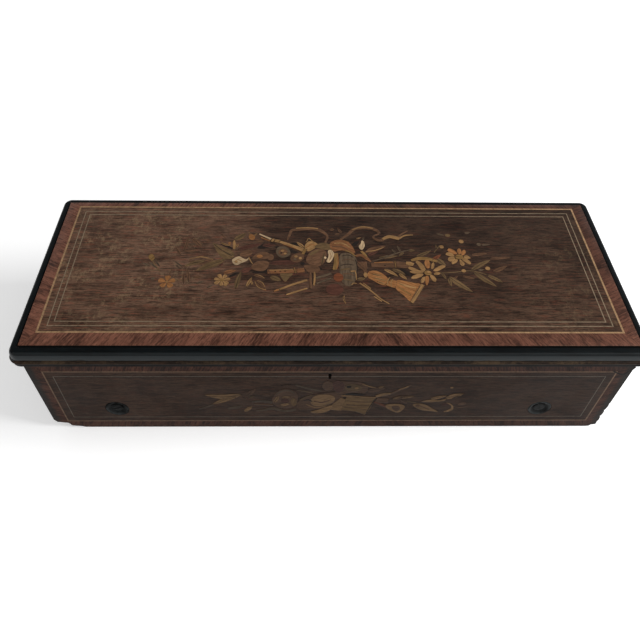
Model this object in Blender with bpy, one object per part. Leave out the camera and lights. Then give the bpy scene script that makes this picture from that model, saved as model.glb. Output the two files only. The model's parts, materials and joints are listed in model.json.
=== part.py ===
"""An inlaid cylinder music box with a hinged lid, a glass inner lid and a lever wound movement.

The frame is right handed with +Z up, the front towards -Y and the origin on the floor
under the middle of the box. Sizes below are millimetres; meshes are made in metres.
"""

import math

import bmesh
import bpy
from mathutils import Matrix, Vector

MM = 0.001
GAP = 0.3
PAST = 5.0
ROUND_SIDES = 32

# Case
BODY_LENGTH = 640.0
BODY_DEPTH = 242.0
BODY_HEIGHT = 127.7
WALL = 12.0
BOTTOM_THICKNESS = 9.0
VENEER = 1.0
PARTITION = 6.0
PARTITION_DROP = 0.4
WINDING_SPACE = 80.0
CONTROL_SPACE = 40.0

# Lid
LID_SIDE_OVERHANG = 10.0
LID_FRONT_OVERHANG = 8.0
LID_THICKNESS = 22.0
MOULDING_WIDTH = 12.4
MOULDING_DROP = 1.5
MOULDING_SHOULDER = 1.5
MOULDING_WAIST = 9.0
MOULDING_STEP = 1.8
MOULDING_STEP_TOP = 6.5
BEAD_TOP = 4.6
BEAD_FOOT = 0.4
BEAD_ROUND = 0.8
CARD_LENGTH = 150.0
CARD_DEPTH = 100.0
CARD_THICKNESS = 0.5

# Butt hinges
HINGE_INSET = 105.0
HINGE_LENGTH = 40.0
HINGE_AXIS_PROUD = 1.3
KNUCKLE_RADIUS = 2.5
HINGE_PIN_RADIUS = 1.2
LEAF_THICKNESS = 1.5
LEAF_DEPTH = 10.0
PIN_CLEARANCE = 0.25

# Keyhole and lock
KEYHOLE_X = -2.0
KEYHOLE_Z = 98.0
KEYHOLE_TOP_RADIUS = 2.0
KEYHOLE_FOOT_WIDTH = 2.6
KEYHOLE_HEIGHT = 9.0
LOCK_LENGTH = 52.0
LOCK_DEPTH = 9.0
LOCK_HEIGHT = 31.0
LOCK_CHANNEL_LENGTH = 36.0
LOCK_CHANNEL_WIDTH = 6.2
LOCK_CHANNEL_DEPTH = 12.0
BOLT_TAIL = 8.0
BOLT_WIDTH = 2.4
BOLT_HEIGHT = 3.6
BOLT_THROW = 6.0
LOOP_LENGTH = 4.0
LOOP_WIDTH = 5.2
LOOP_WALL = 1.0
LOOP_FLOOR_SPACE = 1.5
BOLT_LOOP_SPACE = 0.6
BOLT_REST_SPACE = 1.0
STRIKE_LENGTH = 34.0
STRIKE_THICKNESS = 1.0

# Case screws and their cup washers
SCREW_INSET = 78.5
SCREW_DROP = 87.7
WASHER_RADIUS = 13.0
WASHER_DEPTH = 3.6
WASHER_WEB = 0.9
WASHER_CUP_CLEARANCE = 0.8
WASHER_RIM_WIDTH = 2.4
WASHER_RIM_ROUND = 0.5
WASHER_SINK = 0.1
SCREW_HEAD_RADIUS = 6.5
SCREW_HEAD_DEPTH = 1.8
SCREW_SHANK_RADIUS = 3.0
SCREW_BITE = 14.0
SCREW_SLOT_WIDTH = 1.2
SCREW_SLOT_DEPTH = 0.8

# Bedplate
BED_THICKNESS = 8.0
BED_ABOVE_SCREWS = 6.0
BED_WALL_SPACE = 13.0
LUG_LENGTH = 26.0
LUG_DEPTH = 21.0
BED_LEFT_REACH = 42.0
BED_RIGHT_REACH = 6.0

# Glass lid
RAIL_WIDTH = 14.0
RAIL_THICKNESS = 5.0
GLASS_THICKNESS = 2.0
GLASS_DROP = 1.7
GLASS_SIDE_GAP = 0.6
GLASS_PIN_RADIUS = 1.2
GLASS_PIN_INSET = 3.6
GLASS_FRONT_GAP = 1.0
GLASS_BACK_GAP = 0.9
GLASS_PIN_REACH = 5.0

# Toothed wheels
TRAIN_MODULE = 1.0
GOVERNOR_MODULE = 0.8
BARREL_TEETH = 60
PINION_LEAVES = 12
CYLINDER_TEETH = 54
FIRST_WHEEL_TEETH = 40
SECOND_PINION_LEAVES = 10
WORM_WHEEL_TEETH = 24
TOOTH_ADDENDUM = 0.8
TOOTH_DEDENDUM = 1.2
TOOTH_FILL = 0.8
FLANK_LEAN = 0.36
MESH_SLACK = 0.1

# Spring barrel and its arbor
BARREL_AXIS_CLEARANCE = 3.0
BARREL_LENGTH = 54.0
BARREL_RADIUS = 28.0
BARREL_SKIN = 1.8
BARREL_END = 3.0
BARREL_WHEEL_WIDTH = 6.0
ARBOR_RADIUS = 4.0
ARBOR_CLEARANCE = 0.3
ARBOR_STUB = 2.0
ARBOR_PARTITION_SPACE = 3.0
SPRING_TURNS = 5.0
SPRING_STRIP = 1.1

# Ratchet, pawl, click and winding lever
RATCHET_TEETH = 16
RATCHET_TIP_RADIUS = 15.0
RATCHET_ROOT_RADIUS = 12.4
RATCHET_WIDTH = 4.0
PAWL_LEAD_DEG = 55.0
GRIP_FLOOR_SPACE = 4.2
LEVER_SPACE = 1.5
LEVER_LENGTH = 118.0
LEVER_WIDTH = 12.0
LEVER_THICKNESS = 4.5
LEVER_HUB_RADIUS = 11.0
LEVER_HUB_WIDTH = 8.0
LEVER_TIP = 6.0
LEVER_TAPER = 0.7
EAR_OUTSIDE_RADIUS = 31.0
EAR_BACK_RADIUS = 22.0
EAR_ROOT_RADIUS = 8.0
GRIP_RADIUS = 7.5
GRIP_STEM_RADIUS = 2.5
GRIP_LENGTH = 28.0
CATCH_PIN_RADIUS = 1.5
CATCH_PIVOT_RADIUS = 25.0
CATCH_BOSS_RADIUS = 3.4
CATCH_BAR_WIDTH = 3.6
CATCH_NOSE_DEPTH = 4.0
CATCH_NOSE_BACK = 1.4
CATCH_NOSE_DEG = 9.0
PAWL_PIVOT_LEAD = 12.0
PAWL_PLAY_DEG = 4.0
CLICK_PIVOT_DEG = 82.0
CLICK_NOSE_DEG = 121.0

# Music cylinder
CYLINDER_AXIS_Y = 5.0
CYLINDER_AXIS_HEIGHT = 42.0
CYLINDER_RADIUS = 26.0
CYLINDER_SKIN = 1.5
CYLINDER_END = 3.0
TUNE_SHIFT = 2.8
CYLINDER_END_CLEARANCE = 3.2
WHEEL_WIDTH = 4.0
PINION_LENGTH = 8.0

# Bearings
BEARING_THICKNESS = 5.0
BEARING_WIDTH = 24.0
BEARING_CROWN = 10.0
BEARING_CHAMFER = 5.0
BARREL_BEARING_SPACE = 10.0
PART_SPACE = 4.0
BARREL_SPACE = 3.0
WHEEL_SPACE = 2.5
WORM_WHEEL_SPACE = 6.0

# Comb
COMB_TEETH = 72
COMB_THICKNESS = 3.0
COMB_TOOTH_LENGTH = 35.0
COMB_HEEL = 22.0
COMB_SLOT = 0.8
COMB_DROP = 1.0
COMB_END_MARGIN = 2.0
COMB_BASE_MARGIN = 4.0
COMB_BASE_LIP = 3.0
COMB_CYLINDER_GAP = 1.1
COMB_BASE_FLANGE = 7.5
COMB_BASE_WEB = 8.0

# Governor
FIRST_ARBOR_DEG = -20.0
SECOND_ARBOR_DEG = 5.0
SPINDLE_RADIUS = 1.3
SPINDLE_CLEARANCE = 0.3
GOVERNOR_PLATE = 2.5
GOVERNOR_BASE = 4.0
GOVERNOR_INSIDE = 23.0
GOVERNOR_INSET = 27.0
WORM_PITCH_RADIUS = 3.6
WORM_CORE_RADIUS = 2.2
WORM_TIP_RADIUS = 4.3
WORM_THREAD = 0.8
WORM_TURNS = 5.0
WORM_WHEEL_WIDTH = 2.5
FAN_RADIUS = 13.0
FAN_HEIGHT = 13.0
FAN_BLADE = 0.7
COCK_THICKNESS = 3.5
COCK_HALF_WIDTH = 5.0
COCK_PILLAR_DEPTH = 5.0
COCK_FAN_SPACE = 2.0
FRAME_MARGIN = 8.0
FRAME_BACK_MARGIN = 7.0

# Control levers
CONTROL_PIVOT_INSET = 18.0
CONTROL_PIVOT_RADIUS = 3.0
START_LEVER_Y = -48.0
CHANGE_LEVER_Y = -12.0
CONTROL_REACH = 54.0
CONTROL_TAIL = 16.0
CONTROL_WIDTH = 8.0
CONTROL_THICKNESS = 2.5
CONTROL_RISE = 4.0
CONTROL_SWING_DEG = 12.0
CONTROL_WINDOW_SPACE = 1.5
KNOB_RADIUS = 6.0
KNOB_POST = 22.0
KNOB_POST_RADIUS = 2.2
KNOB_HEIGHT = 9.0
KNOB_CORE = 0.9

# Places worked out from the sizes above, all in millimetres
TOTAL_DEPTH = BODY_DEPTH + LID_FRONT_OVERHANG + HINGE_AXIS_PROUD + KNUCKLE_RADIUS
BACK_Y = TOTAL_DEPTH / 2 - HINGE_AXIS_PROUD - KNUCKLE_RADIUS
FRONT_Y = BACK_Y - BODY_DEPTH
LID_FRONT_Y = FRONT_Y - LID_FRONT_OVERHANG
LID_HALF = BODY_LENGTH / 2 + LID_SIDE_OVERHANG
BODY_HALF = BODY_LENGTH / 2
WALL_FRONT_Y = FRONT_Y + VENEER + GAP
INSIDE_FRONT_Y = WALL_FRONT_Y + WALL
INSIDE_BACK_Y = BACK_Y - WALL
INSIDE_X = BODY_HALF - WALL
LID_Z = BODY_HEIGHT + GAP
LID_TOP_Z = LID_Z + LID_THICKNESS
HINGE_Y = BACK_Y + HINGE_AXIS_PROUD
HINGE_Z = BODY_HEIGHT + GAP / 2
LEFT_PARTITION_X = -INSIDE_X + WINDING_SPACE
RIGHT_PARTITION_X = INSIDE_X - CONTROL_SPACE - PARTITION
SCREW_Z = BODY_HEIGHT - SCREW_DROP
BED_TOP = SCREW_Z + BED_ABOVE_SCREWS
BED_BOTTOM = BED_TOP - BED_THICKNESS
BED_LEFT_X = LEFT_PARTITION_X - BED_LEFT_REACH
BED_RIGHT_X = RIGHT_PARTITION_X - BED_RIGHT_REACH
BED_FRONT_Y = INSIDE_FRONT_Y + BED_WALL_SPACE
BED_BACK_Y = INSIDE_BACK_Y - BED_WALL_SPACE
MOVEMENT_Z = BED_TOP + GAP
GLASS_TOP = BODY_HEIGHT - GLASS_DROP
GLASS_BOTTOM = GLASS_TOP - RAIL_THICKNESS
GLASS_LEFT_X = LEFT_PARTITION_X + PARTITION + GLASS_SIDE_GAP
GLASS_RIGHT_X = RIGHT_PARTITION_X - GLASS_SIDE_GAP
GLASS_FRONT_Y = INSIDE_FRONT_Y + GLASS_FRONT_GAP
GLASS_BACK_Y = INSIDE_BACK_Y - GLASS_BACK_GAP
GLASS_AXIS_Y = GLASS_BACK_Y - GLASS_PIN_INSET
GLASS_AXIS_Z = (GLASS_TOP + GLASS_BOTTOM) / 2

BARREL_PITCH = BARREL_TEETH * TRAIN_MODULE / 2
CYLINDER_PITCH = CYLINDER_TEETH * TRAIN_MODULE / 2
PINION_PITCH = PINION_LEAVES * TRAIN_MODULE / 2
FIRST_PITCH = FIRST_WHEEL_TEETH * GOVERNOR_MODULE / 2
SECOND_PINION_PITCH = SECOND_PINION_LEAVES * GOVERNOR_MODULE / 2
WORM_WHEEL_PITCH = WORM_WHEEL_TEETH * TRAIN_MODULE / 2
CYLINDER_Z = BED_TOP + CYLINDER_AXIS_HEIGHT
BARREL_Z = BED_TOP + BARREL_AXIS_CLEARANCE + BARREL_PITCH + TRAIN_MODULE
GRIP_REST_Z = BOTTOM_THICKNESS + GAP + GRIP_RADIUS + GRIP_FLOOR_SPACE
LEVER_REST_DEG = -math.degrees(math.asin((BARREL_Z - GRIP_REST_Z) / LEVER_LENGTH))
BARREL_CENTRES = BARREL_PITCH + PINION_PITCH + MESH_SLACK
BARREL_RISE = CYLINDER_Z - BARREL_Z
BARREL_Y = CYLINDER_AXIS_Y + math.sqrt(BARREL_CENTRES**2 - BARREL_RISE**2)
FIRST_CENTRES = CYLINDER_PITCH + PINION_PITCH + MESH_SLACK
FIRST_Y = CYLINDER_AXIS_Y + FIRST_CENTRES * math.cos(math.radians(FIRST_ARBOR_DEG))
FIRST_Z = CYLINDER_Z + FIRST_CENTRES * math.sin(math.radians(FIRST_ARBOR_DEG))
SECOND_CENTRES = FIRST_PITCH + SECOND_PINION_PITCH + MESH_SLACK
SECOND_Y = FIRST_Y + SECOND_CENTRES * math.cos(math.radians(SECOND_ARBOR_DEG))
SECOND_Z = FIRST_Z + SECOND_CENTRES * math.sin(math.radians(SECOND_ARBOR_DEG))
WORM_Y = SECOND_Y + WORM_WHEEL_PITCH + WORM_PITCH_RADIUS

BARREL_BEARING_X = LEFT_PARTITION_X + PARTITION + BARREL_BEARING_SPACE
BARREL_X = BARREL_BEARING_X + BEARING_THICKNESS + BARREL_SPACE
BARREL_WHEEL_X = BARREL_X + BARREL_LENGTH
BARREL_RIGHT_BEARING_X = BARREL_WHEEL_X + BARREL_WHEEL_WIDTH + PART_SPACE
CYLINDER_LEFT_BEARING_X = BARREL_RIGHT_BEARING_X + BEARING_THICKNESS + 2 * PART_SPACE
CYLINDER_END_SPACE = TUNE_SHIFT + CYLINDER_END_CLEARANCE
CYLINDER_X = CYLINDER_LEFT_BEARING_X + BEARING_THICKNESS + CYLINDER_END_SPACE
GOVERNOR_RIGHT_X = BED_RIGHT_X - GOVERNOR_INSET
GOVERNOR_LEFT_X = GOVERNOR_RIGHT_X - GOVERNOR_INSIDE - 2 * GOVERNOR_PLATE
CYLINDER_WHEEL_X = GOVERNOR_LEFT_X - WHEEL_SPACE - WHEEL_WIDTH
CYLINDER_RIGHT_BEARING_X = CYLINDER_WHEEL_X - PART_SPACE - BEARING_THICKNESS
CYLINDER_RIGHT_X = CYLINDER_RIGHT_BEARING_X - CYLINDER_END_SPACE
FIRST_WHEEL_X = GOVERNOR_LEFT_X + GOVERNOR_PLATE + WHEEL_SPACE
WORM_WHEEL_X = FIRST_WHEEL_X + WHEEL_WIDTH + WORM_WHEEL_SPACE
WORM_X = WORM_WHEEL_X + WORM_WHEEL_WIDTH / 2
BLADE_BOTTOM = SECOND_Z + WORM_WHEEL_PITCH + TRAIN_MODULE + WHEEL_SPACE
BLADE_TOP = BLADE_BOTTOM + FAN_HEIGHT

RATCHET_X = BED_LEFT_X + PART_SPACE
LEVER_X = BED_LEFT_X - LEVER_SPACE - LEVER_HUB_WIDTH
LEVER_ARM_X = LEVER_X + LEVER_HUB_WIDTH - LEVER_THICKNESS
ARBOR_LEFT_X = LEVER_X - ARBOR_STUB
CLICK_BRIDGE_X = RATCHET_X + RATCHET_WIDTH + ARBOR_STUB
CONTROL_PIVOT_X = BED_RIGHT_X - CONTROL_PIVOT_INSET
CONTROL_Z = BED_TOP + CONTROL_RISE
COMB_TIP_Y = CYLINDER_AXIS_Y - CYLINDER_RADIUS - COMB_CYLINDER_GAP
COMB_HEEL_Y = COMB_TIP_Y - COMB_TOOTH_LENGTH
COMB_FRONT_Y = COMB_HEEL_Y - COMB_HEEL
COMB_Z = CYLINDER_Z - COMB_DROP


# Scene and mesh tools


def clear_scene():
    """Remove every object of the scene."""
    for item in list(bpy.data.objects):
        bpy.data.objects.remove(item, do_unlink=True)


def material(name, color, roughness, metallic=0.0, alpha=1.0):
    """A Principled BSDF material, made once for each name."""
    found = bpy.data.materials.get(name)
    if found:
        return found
    made = bpy.data.materials.new(name)
    made.use_nodes = True
    shader = made.node_tree.nodes["Principled BSDF"]
    shader.inputs["Base Color"].default_value = (*color, 1.0)
    shader.inputs["Roughness"].default_value = roughness
    shader.inputs["Metallic"].default_value = metallic
    shader.inputs["Alpha"].default_value = alpha
    return made


def pine():
    """The pale secondary wood of the case."""
    return material("pine", (0.36, 0.22, 0.11), 0.65)


def rosewood():
    """The dark figured veneer."""
    return material("rosewood", (0.09, 0.045, 0.025), 0.38)


def ebonised():
    """Wood stained black."""
    return material("ebonised", (0.018, 0.018, 0.02), 0.42)


def brass():
    """Lacquered brass."""
    return material("brass", (0.62, 0.44, 0.18), 0.32, 1.0)


def steel():
    """Brushed steel."""
    return material("steel", (0.5, 0.5, 0.52), 0.35, 1.0)


def blued_steel():
    """Dark tempered steel."""
    return material("blued_steel", (0.1, 0.11, 0.14), 0.4, 1.0)


def cast_iron():
    """The painted bedplate."""
    return material("cast_iron", (0.3, 0.27, 0.18), 0.5, 0.6)


def glass():
    """Clear window glass."""
    return material("glass", (0.9, 0.95, 0.93), 0.05, 0.0, 0.3)


def paper():
    """The tune card."""
    return material("paper", (0.75, 0.68, 0.52), 0.85)


def make(name, mesh, look):
    """Turn a bmesh into a shaded object with outward faces."""
    bmesh.ops.recalc_face_normals(mesh, faces=mesh.faces)
    data = bpy.data.meshes.new(name)
    mesh.to_mesh(data)
    mesh.free()
    data.materials.append(look)
    data.shade_smooth()
    data.set_sharp_from_angle(angle=math.radians(35))
    item = bpy.data.objects.new(name, data)
    bpy.context.collection.objects.link(item)
    return item


def place(axis, u, v, w):
    """A point in metres from two coordinates across an axis and one along it."""
    if axis == "X":
        return Vector((w, u, v)) * MM
    if axis == "Y":
        return Vector((u, w, v)) * MM
    return Vector((u, v, w)) * MM


def box(x, y, z):
    """A box between pairs of limits."""
    mesh = bmesh.new()
    size = Vector((x[1] - x[0], y[1] - y[0], z[1] - z[0])) * MM
    middle = Vector((x[0] + x[1], y[0] + y[1], z[0] + z[1])) * MM / 2
    where = Matrix.Translation(middle) @ Matrix.Diagonal((*size, 1.0))
    bmesh.ops.create_cube(mesh, size=1.0, matrix=where)
    return mesh


def prism(points, axis, low, high):
    """An outline extruded along an axis."""
    mesh = bmesh.new()
    face = mesh.faces.new([mesh.verts.new(place(axis, u, v, low)) for u, v in points])
    grown = bmesh.ops.extrude_face_region(mesh, geom=[face])
    raised = [g for g in grown["geom"] if isinstance(g, bmesh.types.BMVert)]
    step = place(axis, 0.0, 0.0, high - low)
    bmesh.ops.translate(mesh, verts=raised, vec=step)
    return mesh


def circle(u, v, radius, sides=24, turn=0.0):
    """Points round a circle."""
    steps = [turn + 2 * math.pi * k / sides for k in range(sides)]
    return [(u + radius * math.cos(a), v + radius * math.sin(a)) for a in steps]


def rod(axis, u, v, radius, low, high, sides=16):
    """A round bar along an axis."""
    return prism(circle(u, v, radius, sides), axis, low, high)


def turned(profile, axis, u, v, sides=ROUND_SIDES):
    """A closed profile of (radius, place along the axis) turned a full circle."""
    mesh = bmesh.new()
    rings = []
    for k in range(sides):
        a = 2 * math.pi * k / sides
        ring = [
            mesh.verts.new(place(axis, u + r * math.cos(a), v + r * math.sin(a), w))
            for r, w in profile
        ]
        rings.append(ring)
    count = len(profile)
    for k in range(sides):
        here, there = rings[k], rings[(k + 1) % sides]
        for i in range(count):
            j = (i + 1) % count
            mesh.faces.new((here[i], here[j], there[j], there[i]))
    return mesh


def combine(item, tool_mesh, operation):
    """Apply an exact Boolean with a tool, and remove the tool."""
    tool = make("tool", tool_mesh, item.data.materials[0])
    step = item.modifiers.new(operation.lower(), "BOOLEAN")
    step.operation = operation
    step.solver = "EXACT"
    step.object = tool
    graph = bpy.context.evaluated_depsgraph_get()
    result = bpy.data.meshes.new_from_object(item.evaluated_get(graph))
    item.modifiers.clear()
    item.data = result
    result.name = item.name
    result.shade_smooth()
    result.set_sharp_from_angle(angle=math.radians(35))
    bpy.data.objects.remove(tool, do_unlink=True)


def cut(item, *tools):
    """Cut tools out of an object."""
    for tool in tools:
        combine(item, tool, "DIFFERENCE")
    return item


def join(item, *tools):
    """Fuse tools onto an object as one body."""
    for tool in tools:
        combine(item, tool, "UNION")
    return item


def axle(name, x, y, z):
    """An empty on a joint's axis."""
    item = bpy.data.objects.new(name, None)
    item.location = Vector((x, y, z)) * MM
    bpy.context.collection.objects.link(item)
    return item


def hang(parent, *items):
    """Give moving pieces their joint's origin and parent them to its empty."""
    for item in items:
        item.data.transform(Matrix.Translation(-parent.location))
        item.parent = parent


def tooth_circle(teeth, module, u, v, turn=0.0):
    """A spur gear outline with straight flanks."""
    pitch = teeth * module / 2
    tip = pitch + TOOTH_ADDENDUM * module
    root = pitch - TOOTH_DEDENDUM * module
    half = math.pi / teeth / 2 * TOOTH_FILL
    tip_half = half - TOOTH_ADDENDUM * module * FLANK_LEAN / tip
    root_half = half + TOOTH_DEDENDUM * module * FLANK_LEAN * 0.75 / root
    corners = ((root, -root_half), (tip, -tip_half), (tip, tip_half), (root, root_half))
    points = []
    for k in range(teeth):
        a = turn + 2 * math.pi * k / teeth
        for radius, shift in corners:
            angle = a + shift
            points.append((u + radius * math.cos(angle), v + radius * math.sin(angle)))
    return points


def gear(name, teeth, module, axis_yz, low, high, turn, look):
    """A toothed disc across the X axis."""
    outline = tooth_circle(teeth, module, axis_yz[0], axis_yz[1], turn)
    return make(name, prism(outline, "X", low, high), look)


def mesh_turn(driver_turn, driver_teeth, teeth, bearing):
    """The turn that puts a wheel's gap on its driver's tooth, across a line of centres."""
    phase = (bearing - driver_turn) * driver_teeth / (2 * math.pi)
    part = phase - math.floor(phase)
    return bearing + math.pi + math.pi / teeth + part * 2 * math.pi / teeth


# Case


def make_bottom_board():
    """The board that the case stands on."""
    x = (-INSIDE_X + GAP, INSIDE_X - GAP)
    y = (INSIDE_FRONT_Y + GAP, INSIDE_BACK_Y - GAP)
    make("bottom_board", box(x, y, (0.0, BOTTOM_THICKNESS)), pine())


def keyhole(low, high):
    """A key shaped cutter: a round top on a tapering slot."""
    top = KEYHOLE_Z + KEYHOLE_HEIGHT - KEYHOLE_TOP_RADIUS
    arc = [math.radians(d) for d in range(-30, 211, 24)]
    points = [
        (
            KEYHOLE_X + KEYHOLE_TOP_RADIUS * math.cos(a),
            top + KEYHOLE_TOP_RADIUS * math.sin(a),
        )
        for a in arc
    ]
    points.append((KEYHOLE_X - KEYHOLE_FOOT_WIDTH / 2, KEYHOLE_Z))
    points.append((KEYHOLE_X + KEYHOLE_FOOT_WIDTH / 2, KEYHOLE_Z))
    return prism(points, "Y", low, high)


def screw_sides():
    """The two screw stations along the case."""
    return (("left", SCREW_INSET - BODY_HALF), ("right", BODY_HALF - SCREW_INSET))


def hinge_sides():
    """The two hinge stations along the case."""
    return (("left", HINGE_INSET - BODY_HALF), ("right", BODY_HALF - HINGE_INSET))


def make_front_wall():
    """The front board with its lock pocket, keyhole and stepped screw holes."""
    x = (-BODY_HALF, BODY_HALF)
    y = (WALL_FRONT_Y, INSIDE_FRONT_Y)
    wall = make("front_wall", box(x, y, (0.0, BODY_HEIGHT)), pine())
    pocket_half = LOCK_LENGTH / 2 + GAP
    pocket = box(
        (-pocket_half, pocket_half),
        (INSIDE_FRONT_Y - LOCK_DEPTH - GAP, INSIDE_FRONT_Y + PAST),
        (BODY_HEIGHT - LOCK_HEIGHT - GAP, BODY_HEIGHT + PAST),
    )
    cut(wall, pocket, keyhole(FRONT_Y - PAST, lock_middle_y()))
    seat = WASHER_DEPTH - VENEER - GAP
    for _, x in screw_sides():
        bore = rod(
            "Y", x, SCREW_Z, SCREW_SHANK_RADIUS + GAP, FRONT_Y - PAST, INSIDE_FRONT_Y + PAST
        )
        step = rod(
            "Y",
            x,
            SCREW_Z,
            WASHER_RADIUS + GAP,
            FRONT_Y - PAST,
            WALL_FRONT_Y + seat + GAP,
            32,
        )
        cut(wall, bore, step)


def make_front_veneer():
    """The thin figured sheet that carries the inlay of the front."""
    x = (-BODY_HALF, BODY_HALF)
    y = (FRONT_Y, FRONT_Y + VENEER)
    sheet = make("front_veneer", box(x, y, (GAP, BODY_HEIGHT)), rosewood())
    cut(sheet, keyhole(FRONT_Y - PAST, INSIDE_FRONT_Y))
    for _, x in screw_sides():
        hole = rod(
            "Y", x, SCREW_Z, WASHER_RADIUS + GAP, FRONT_Y - PAST, INSIDE_FRONT_Y, 32
        )
        cut(sheet, hole)


def knuckle_groove(x, half):
    """A round relief for a hinge's knuckles."""
    radius = KNUCKLE_RADIUS + GAP
    return rod("X", HINGE_Y, HINGE_Z, radius, x - half, x + half, 20)


def make_back_wall():
    """The back board with screw holes and hinge recesses."""
    x = (-BODY_HALF, BODY_HALF)
    y = (INSIDE_BACK_Y, BACK_Y)
    wall = make("back_wall", box(x, y, (0.0, BODY_HEIGHT)), pine())
    half = HINGE_LENGTH / 2 + GAP
    for _, x in hinge_sides():
        recess = box(
            (x - half, x + half),
            (BACK_Y - LEAF_DEPTH - GAP, BACK_Y + PAST),
            (BODY_HEIGHT - LEAF_THICKNESS - GAP, BODY_HEIGHT + PAST),
        )
        cut(wall, recess, knuckle_groove(x, half))
    for _, x in screw_sides():
        bore = rod(
            "Y", x, SCREW_Z, SCREW_SHANK_RADIUS + GAP, INSIDE_BACK_Y - PAST, BACK_Y + PAST
        )
        step = rod(
            "Y",
            x,
            SCREW_Z,
            SCREW_HEAD_RADIUS + GAP,
            BACK_Y - SCREW_HEAD_DEPTH - 2 * GAP,
            BACK_Y + PAST,
            20,
        )
        cut(wall, bore, step)


def make_side_walls():
    """The two end boards between front and back."""
    y = (INSIDE_FRONT_Y + GAP, INSIDE_BACK_Y - GAP)
    z = (0.0, BODY_HEIGHT)
    make("left_wall", box((-BODY_HALF, -INSIDE_X), y, z), ebonised())
    make("right_wall", box((INSIDE_X, BODY_HALF), y, z), ebonised())


def partition(name, low_x, bottom):
    """A thin board across the case, with a hole for the glass lid's pivot."""
    x = (low_x, low_x + PARTITION)
    y = (INSIDE_FRONT_Y + GAP, INSIDE_BACK_Y - GAP)
    board = make(name, box(x, y, (bottom, BODY_HEIGHT - PARTITION_DROP)), ebonised())
    radius = GLASS_PIN_RADIUS + PIN_CLEARANCE
    hole = rod("X", GLASS_AXIS_Y, GLASS_AXIS_Z, radius, x[0] - PAST, x[1] + PAST, 12)
    return cut(board, hole)


def make_partitions():
    """The boards that part the movement from the winding and control spaces."""
    left = partition("left_partition", LEFT_PARTITION_X, MOVEMENT_Z)
    radius = ARBOR_RADIUS + ARBOR_PARTITION_SPACE
    reach = (LEFT_PARTITION_X - PAST, LEFT_PARTITION_X + PARTITION + PAST)
    cut(left, rod("X", BARREL_Y, BARREL_Z, radius, *reach, 20))
    right = partition("right_partition", RIGHT_PARTITION_X, BOTTOM_THICKNESS + GAP)
    near = RIGHT_PARTITION_X - CONTROL_PIVOT_X
    travel = (near + PARTITION) * math.tan(math.radians(CONTROL_SWING_DEG))
    half = CONTROL_WIDTH / 2 + CONTROL_WINDOW_SPACE
    for y in (START_LEVER_Y, CHANGE_LEVER_Y):
        window = box(
            (RIGHT_PARTITION_X - PAST, RIGHT_PARTITION_X + PARTITION + PAST),
            (y - half, y + half + travel),
            (CONTROL_Z - CONTROL_WINDOW_SPACE, CONTROL_Z + CONTROL_THICKNESS + CONTROL_WINDOW_SPACE),
        )
        cut(right, window)


# Lock


def loop_z():
    """The foot of the strike's loop, inside the lock's channel."""
    return BODY_HEIGHT - LOCK_CHANNEL_DEPTH + LOOP_FLOOR_SPACE


def lock_middle_y():
    """The middle of the lock across the front wall."""
    return INSIDE_FRONT_Y - LOCK_DEPTH / 2


def make_lock():
    """The mortised lock: a case with an open channel, and a sliding bolt."""
    half = LOCK_LENGTH / 2
    y = lock_middle_y()
    bottom = BODY_HEIGHT - LOCK_HEIGHT
    case = box(
        (-half, half),
        (INSIDE_FRONT_Y - LOCK_DEPTH, INSIDE_FRONT_Y - GAP),
        (bottom, BODY_HEIGHT - GAP),
    )
    lock = make("lock_body", case, brass())
    channel = box(
        (-LOCK_CHANNEL_LENGTH / 2, LOCK_CHANNEL_LENGTH / 2),
        (y - LOCK_CHANNEL_WIDTH / 2, y + LOCK_CHANNEL_WIDTH / 2),
        (BODY_HEIGHT - LOCK_CHANNEL_DEPTH, BODY_HEIGHT + PAST),
    )
    cut(lock, channel, keyhole(FRONT_Y, y))
    low = loop_z() + LOOP_WALL + BOLT_LOOP_SPACE
    nose_end = -LOOP_LENGTH / 2 - BOLT_REST_SPACE
    tail_end = nose_end - BOLT_THROW - BOLT_REST_SPACE / 2
    nose = box(
        (tail_end - 1.0, nose_end),
        (y - BOLT_WIDTH / 2, y + BOLT_WIDTH / 2),
        (low, low + BOLT_HEIGHT),
    )
    tail_half = LOCK_CHANNEL_WIDTH / 2 - GAP
    tail = box(
        (tail_end - BOLT_TAIL, tail_end),
        (y - tail_half, y + tail_half),
        (BODY_HEIGHT - LOCK_CHANNEL_DEPTH + GAP, low + BOLT_HEIGHT),
    )
    bolt = join(make("lock_bolt", tail, steel()), nose)
    hang(axle("lock_bolt_slide", nose_end, y, low), bolt)


def make_strike():
    """The plate under the lid whose loop the bolt passes through."""
    y = lock_middle_y()
    half = STRIKE_LENGTH / 2
    plate = box(
        (-half, half),
        (y - LOCK_CHANNEL_WIDTH / 2, y + LOCK_CHANNEL_WIDTH / 2),
        (LID_Z, LID_Z + STRIKE_THICKNESS),
    )
    strike = make("lock_strike", plate, brass())
    loop = box(
        (-LOOP_LENGTH / 2, LOOP_LENGTH / 2),
        (y - LOOP_WIDTH / 2, y + LOOP_WIDTH / 2),
        (loop_z(), LID_Z + STRIKE_THICKNESS / 2),
    )
    join(strike, loop)
    eye = box(
        (-LOOP_LENGTH, LOOP_LENGTH),
        (y - LOOP_WIDTH / 2 + LOOP_WALL, y + LOOP_WIDTH / 2 - LOOP_WALL),
        (loop_z() + LOOP_WALL, LID_Z - LOOP_WALL),
    )
    return cut(strike, eye)


# Screws


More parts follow.
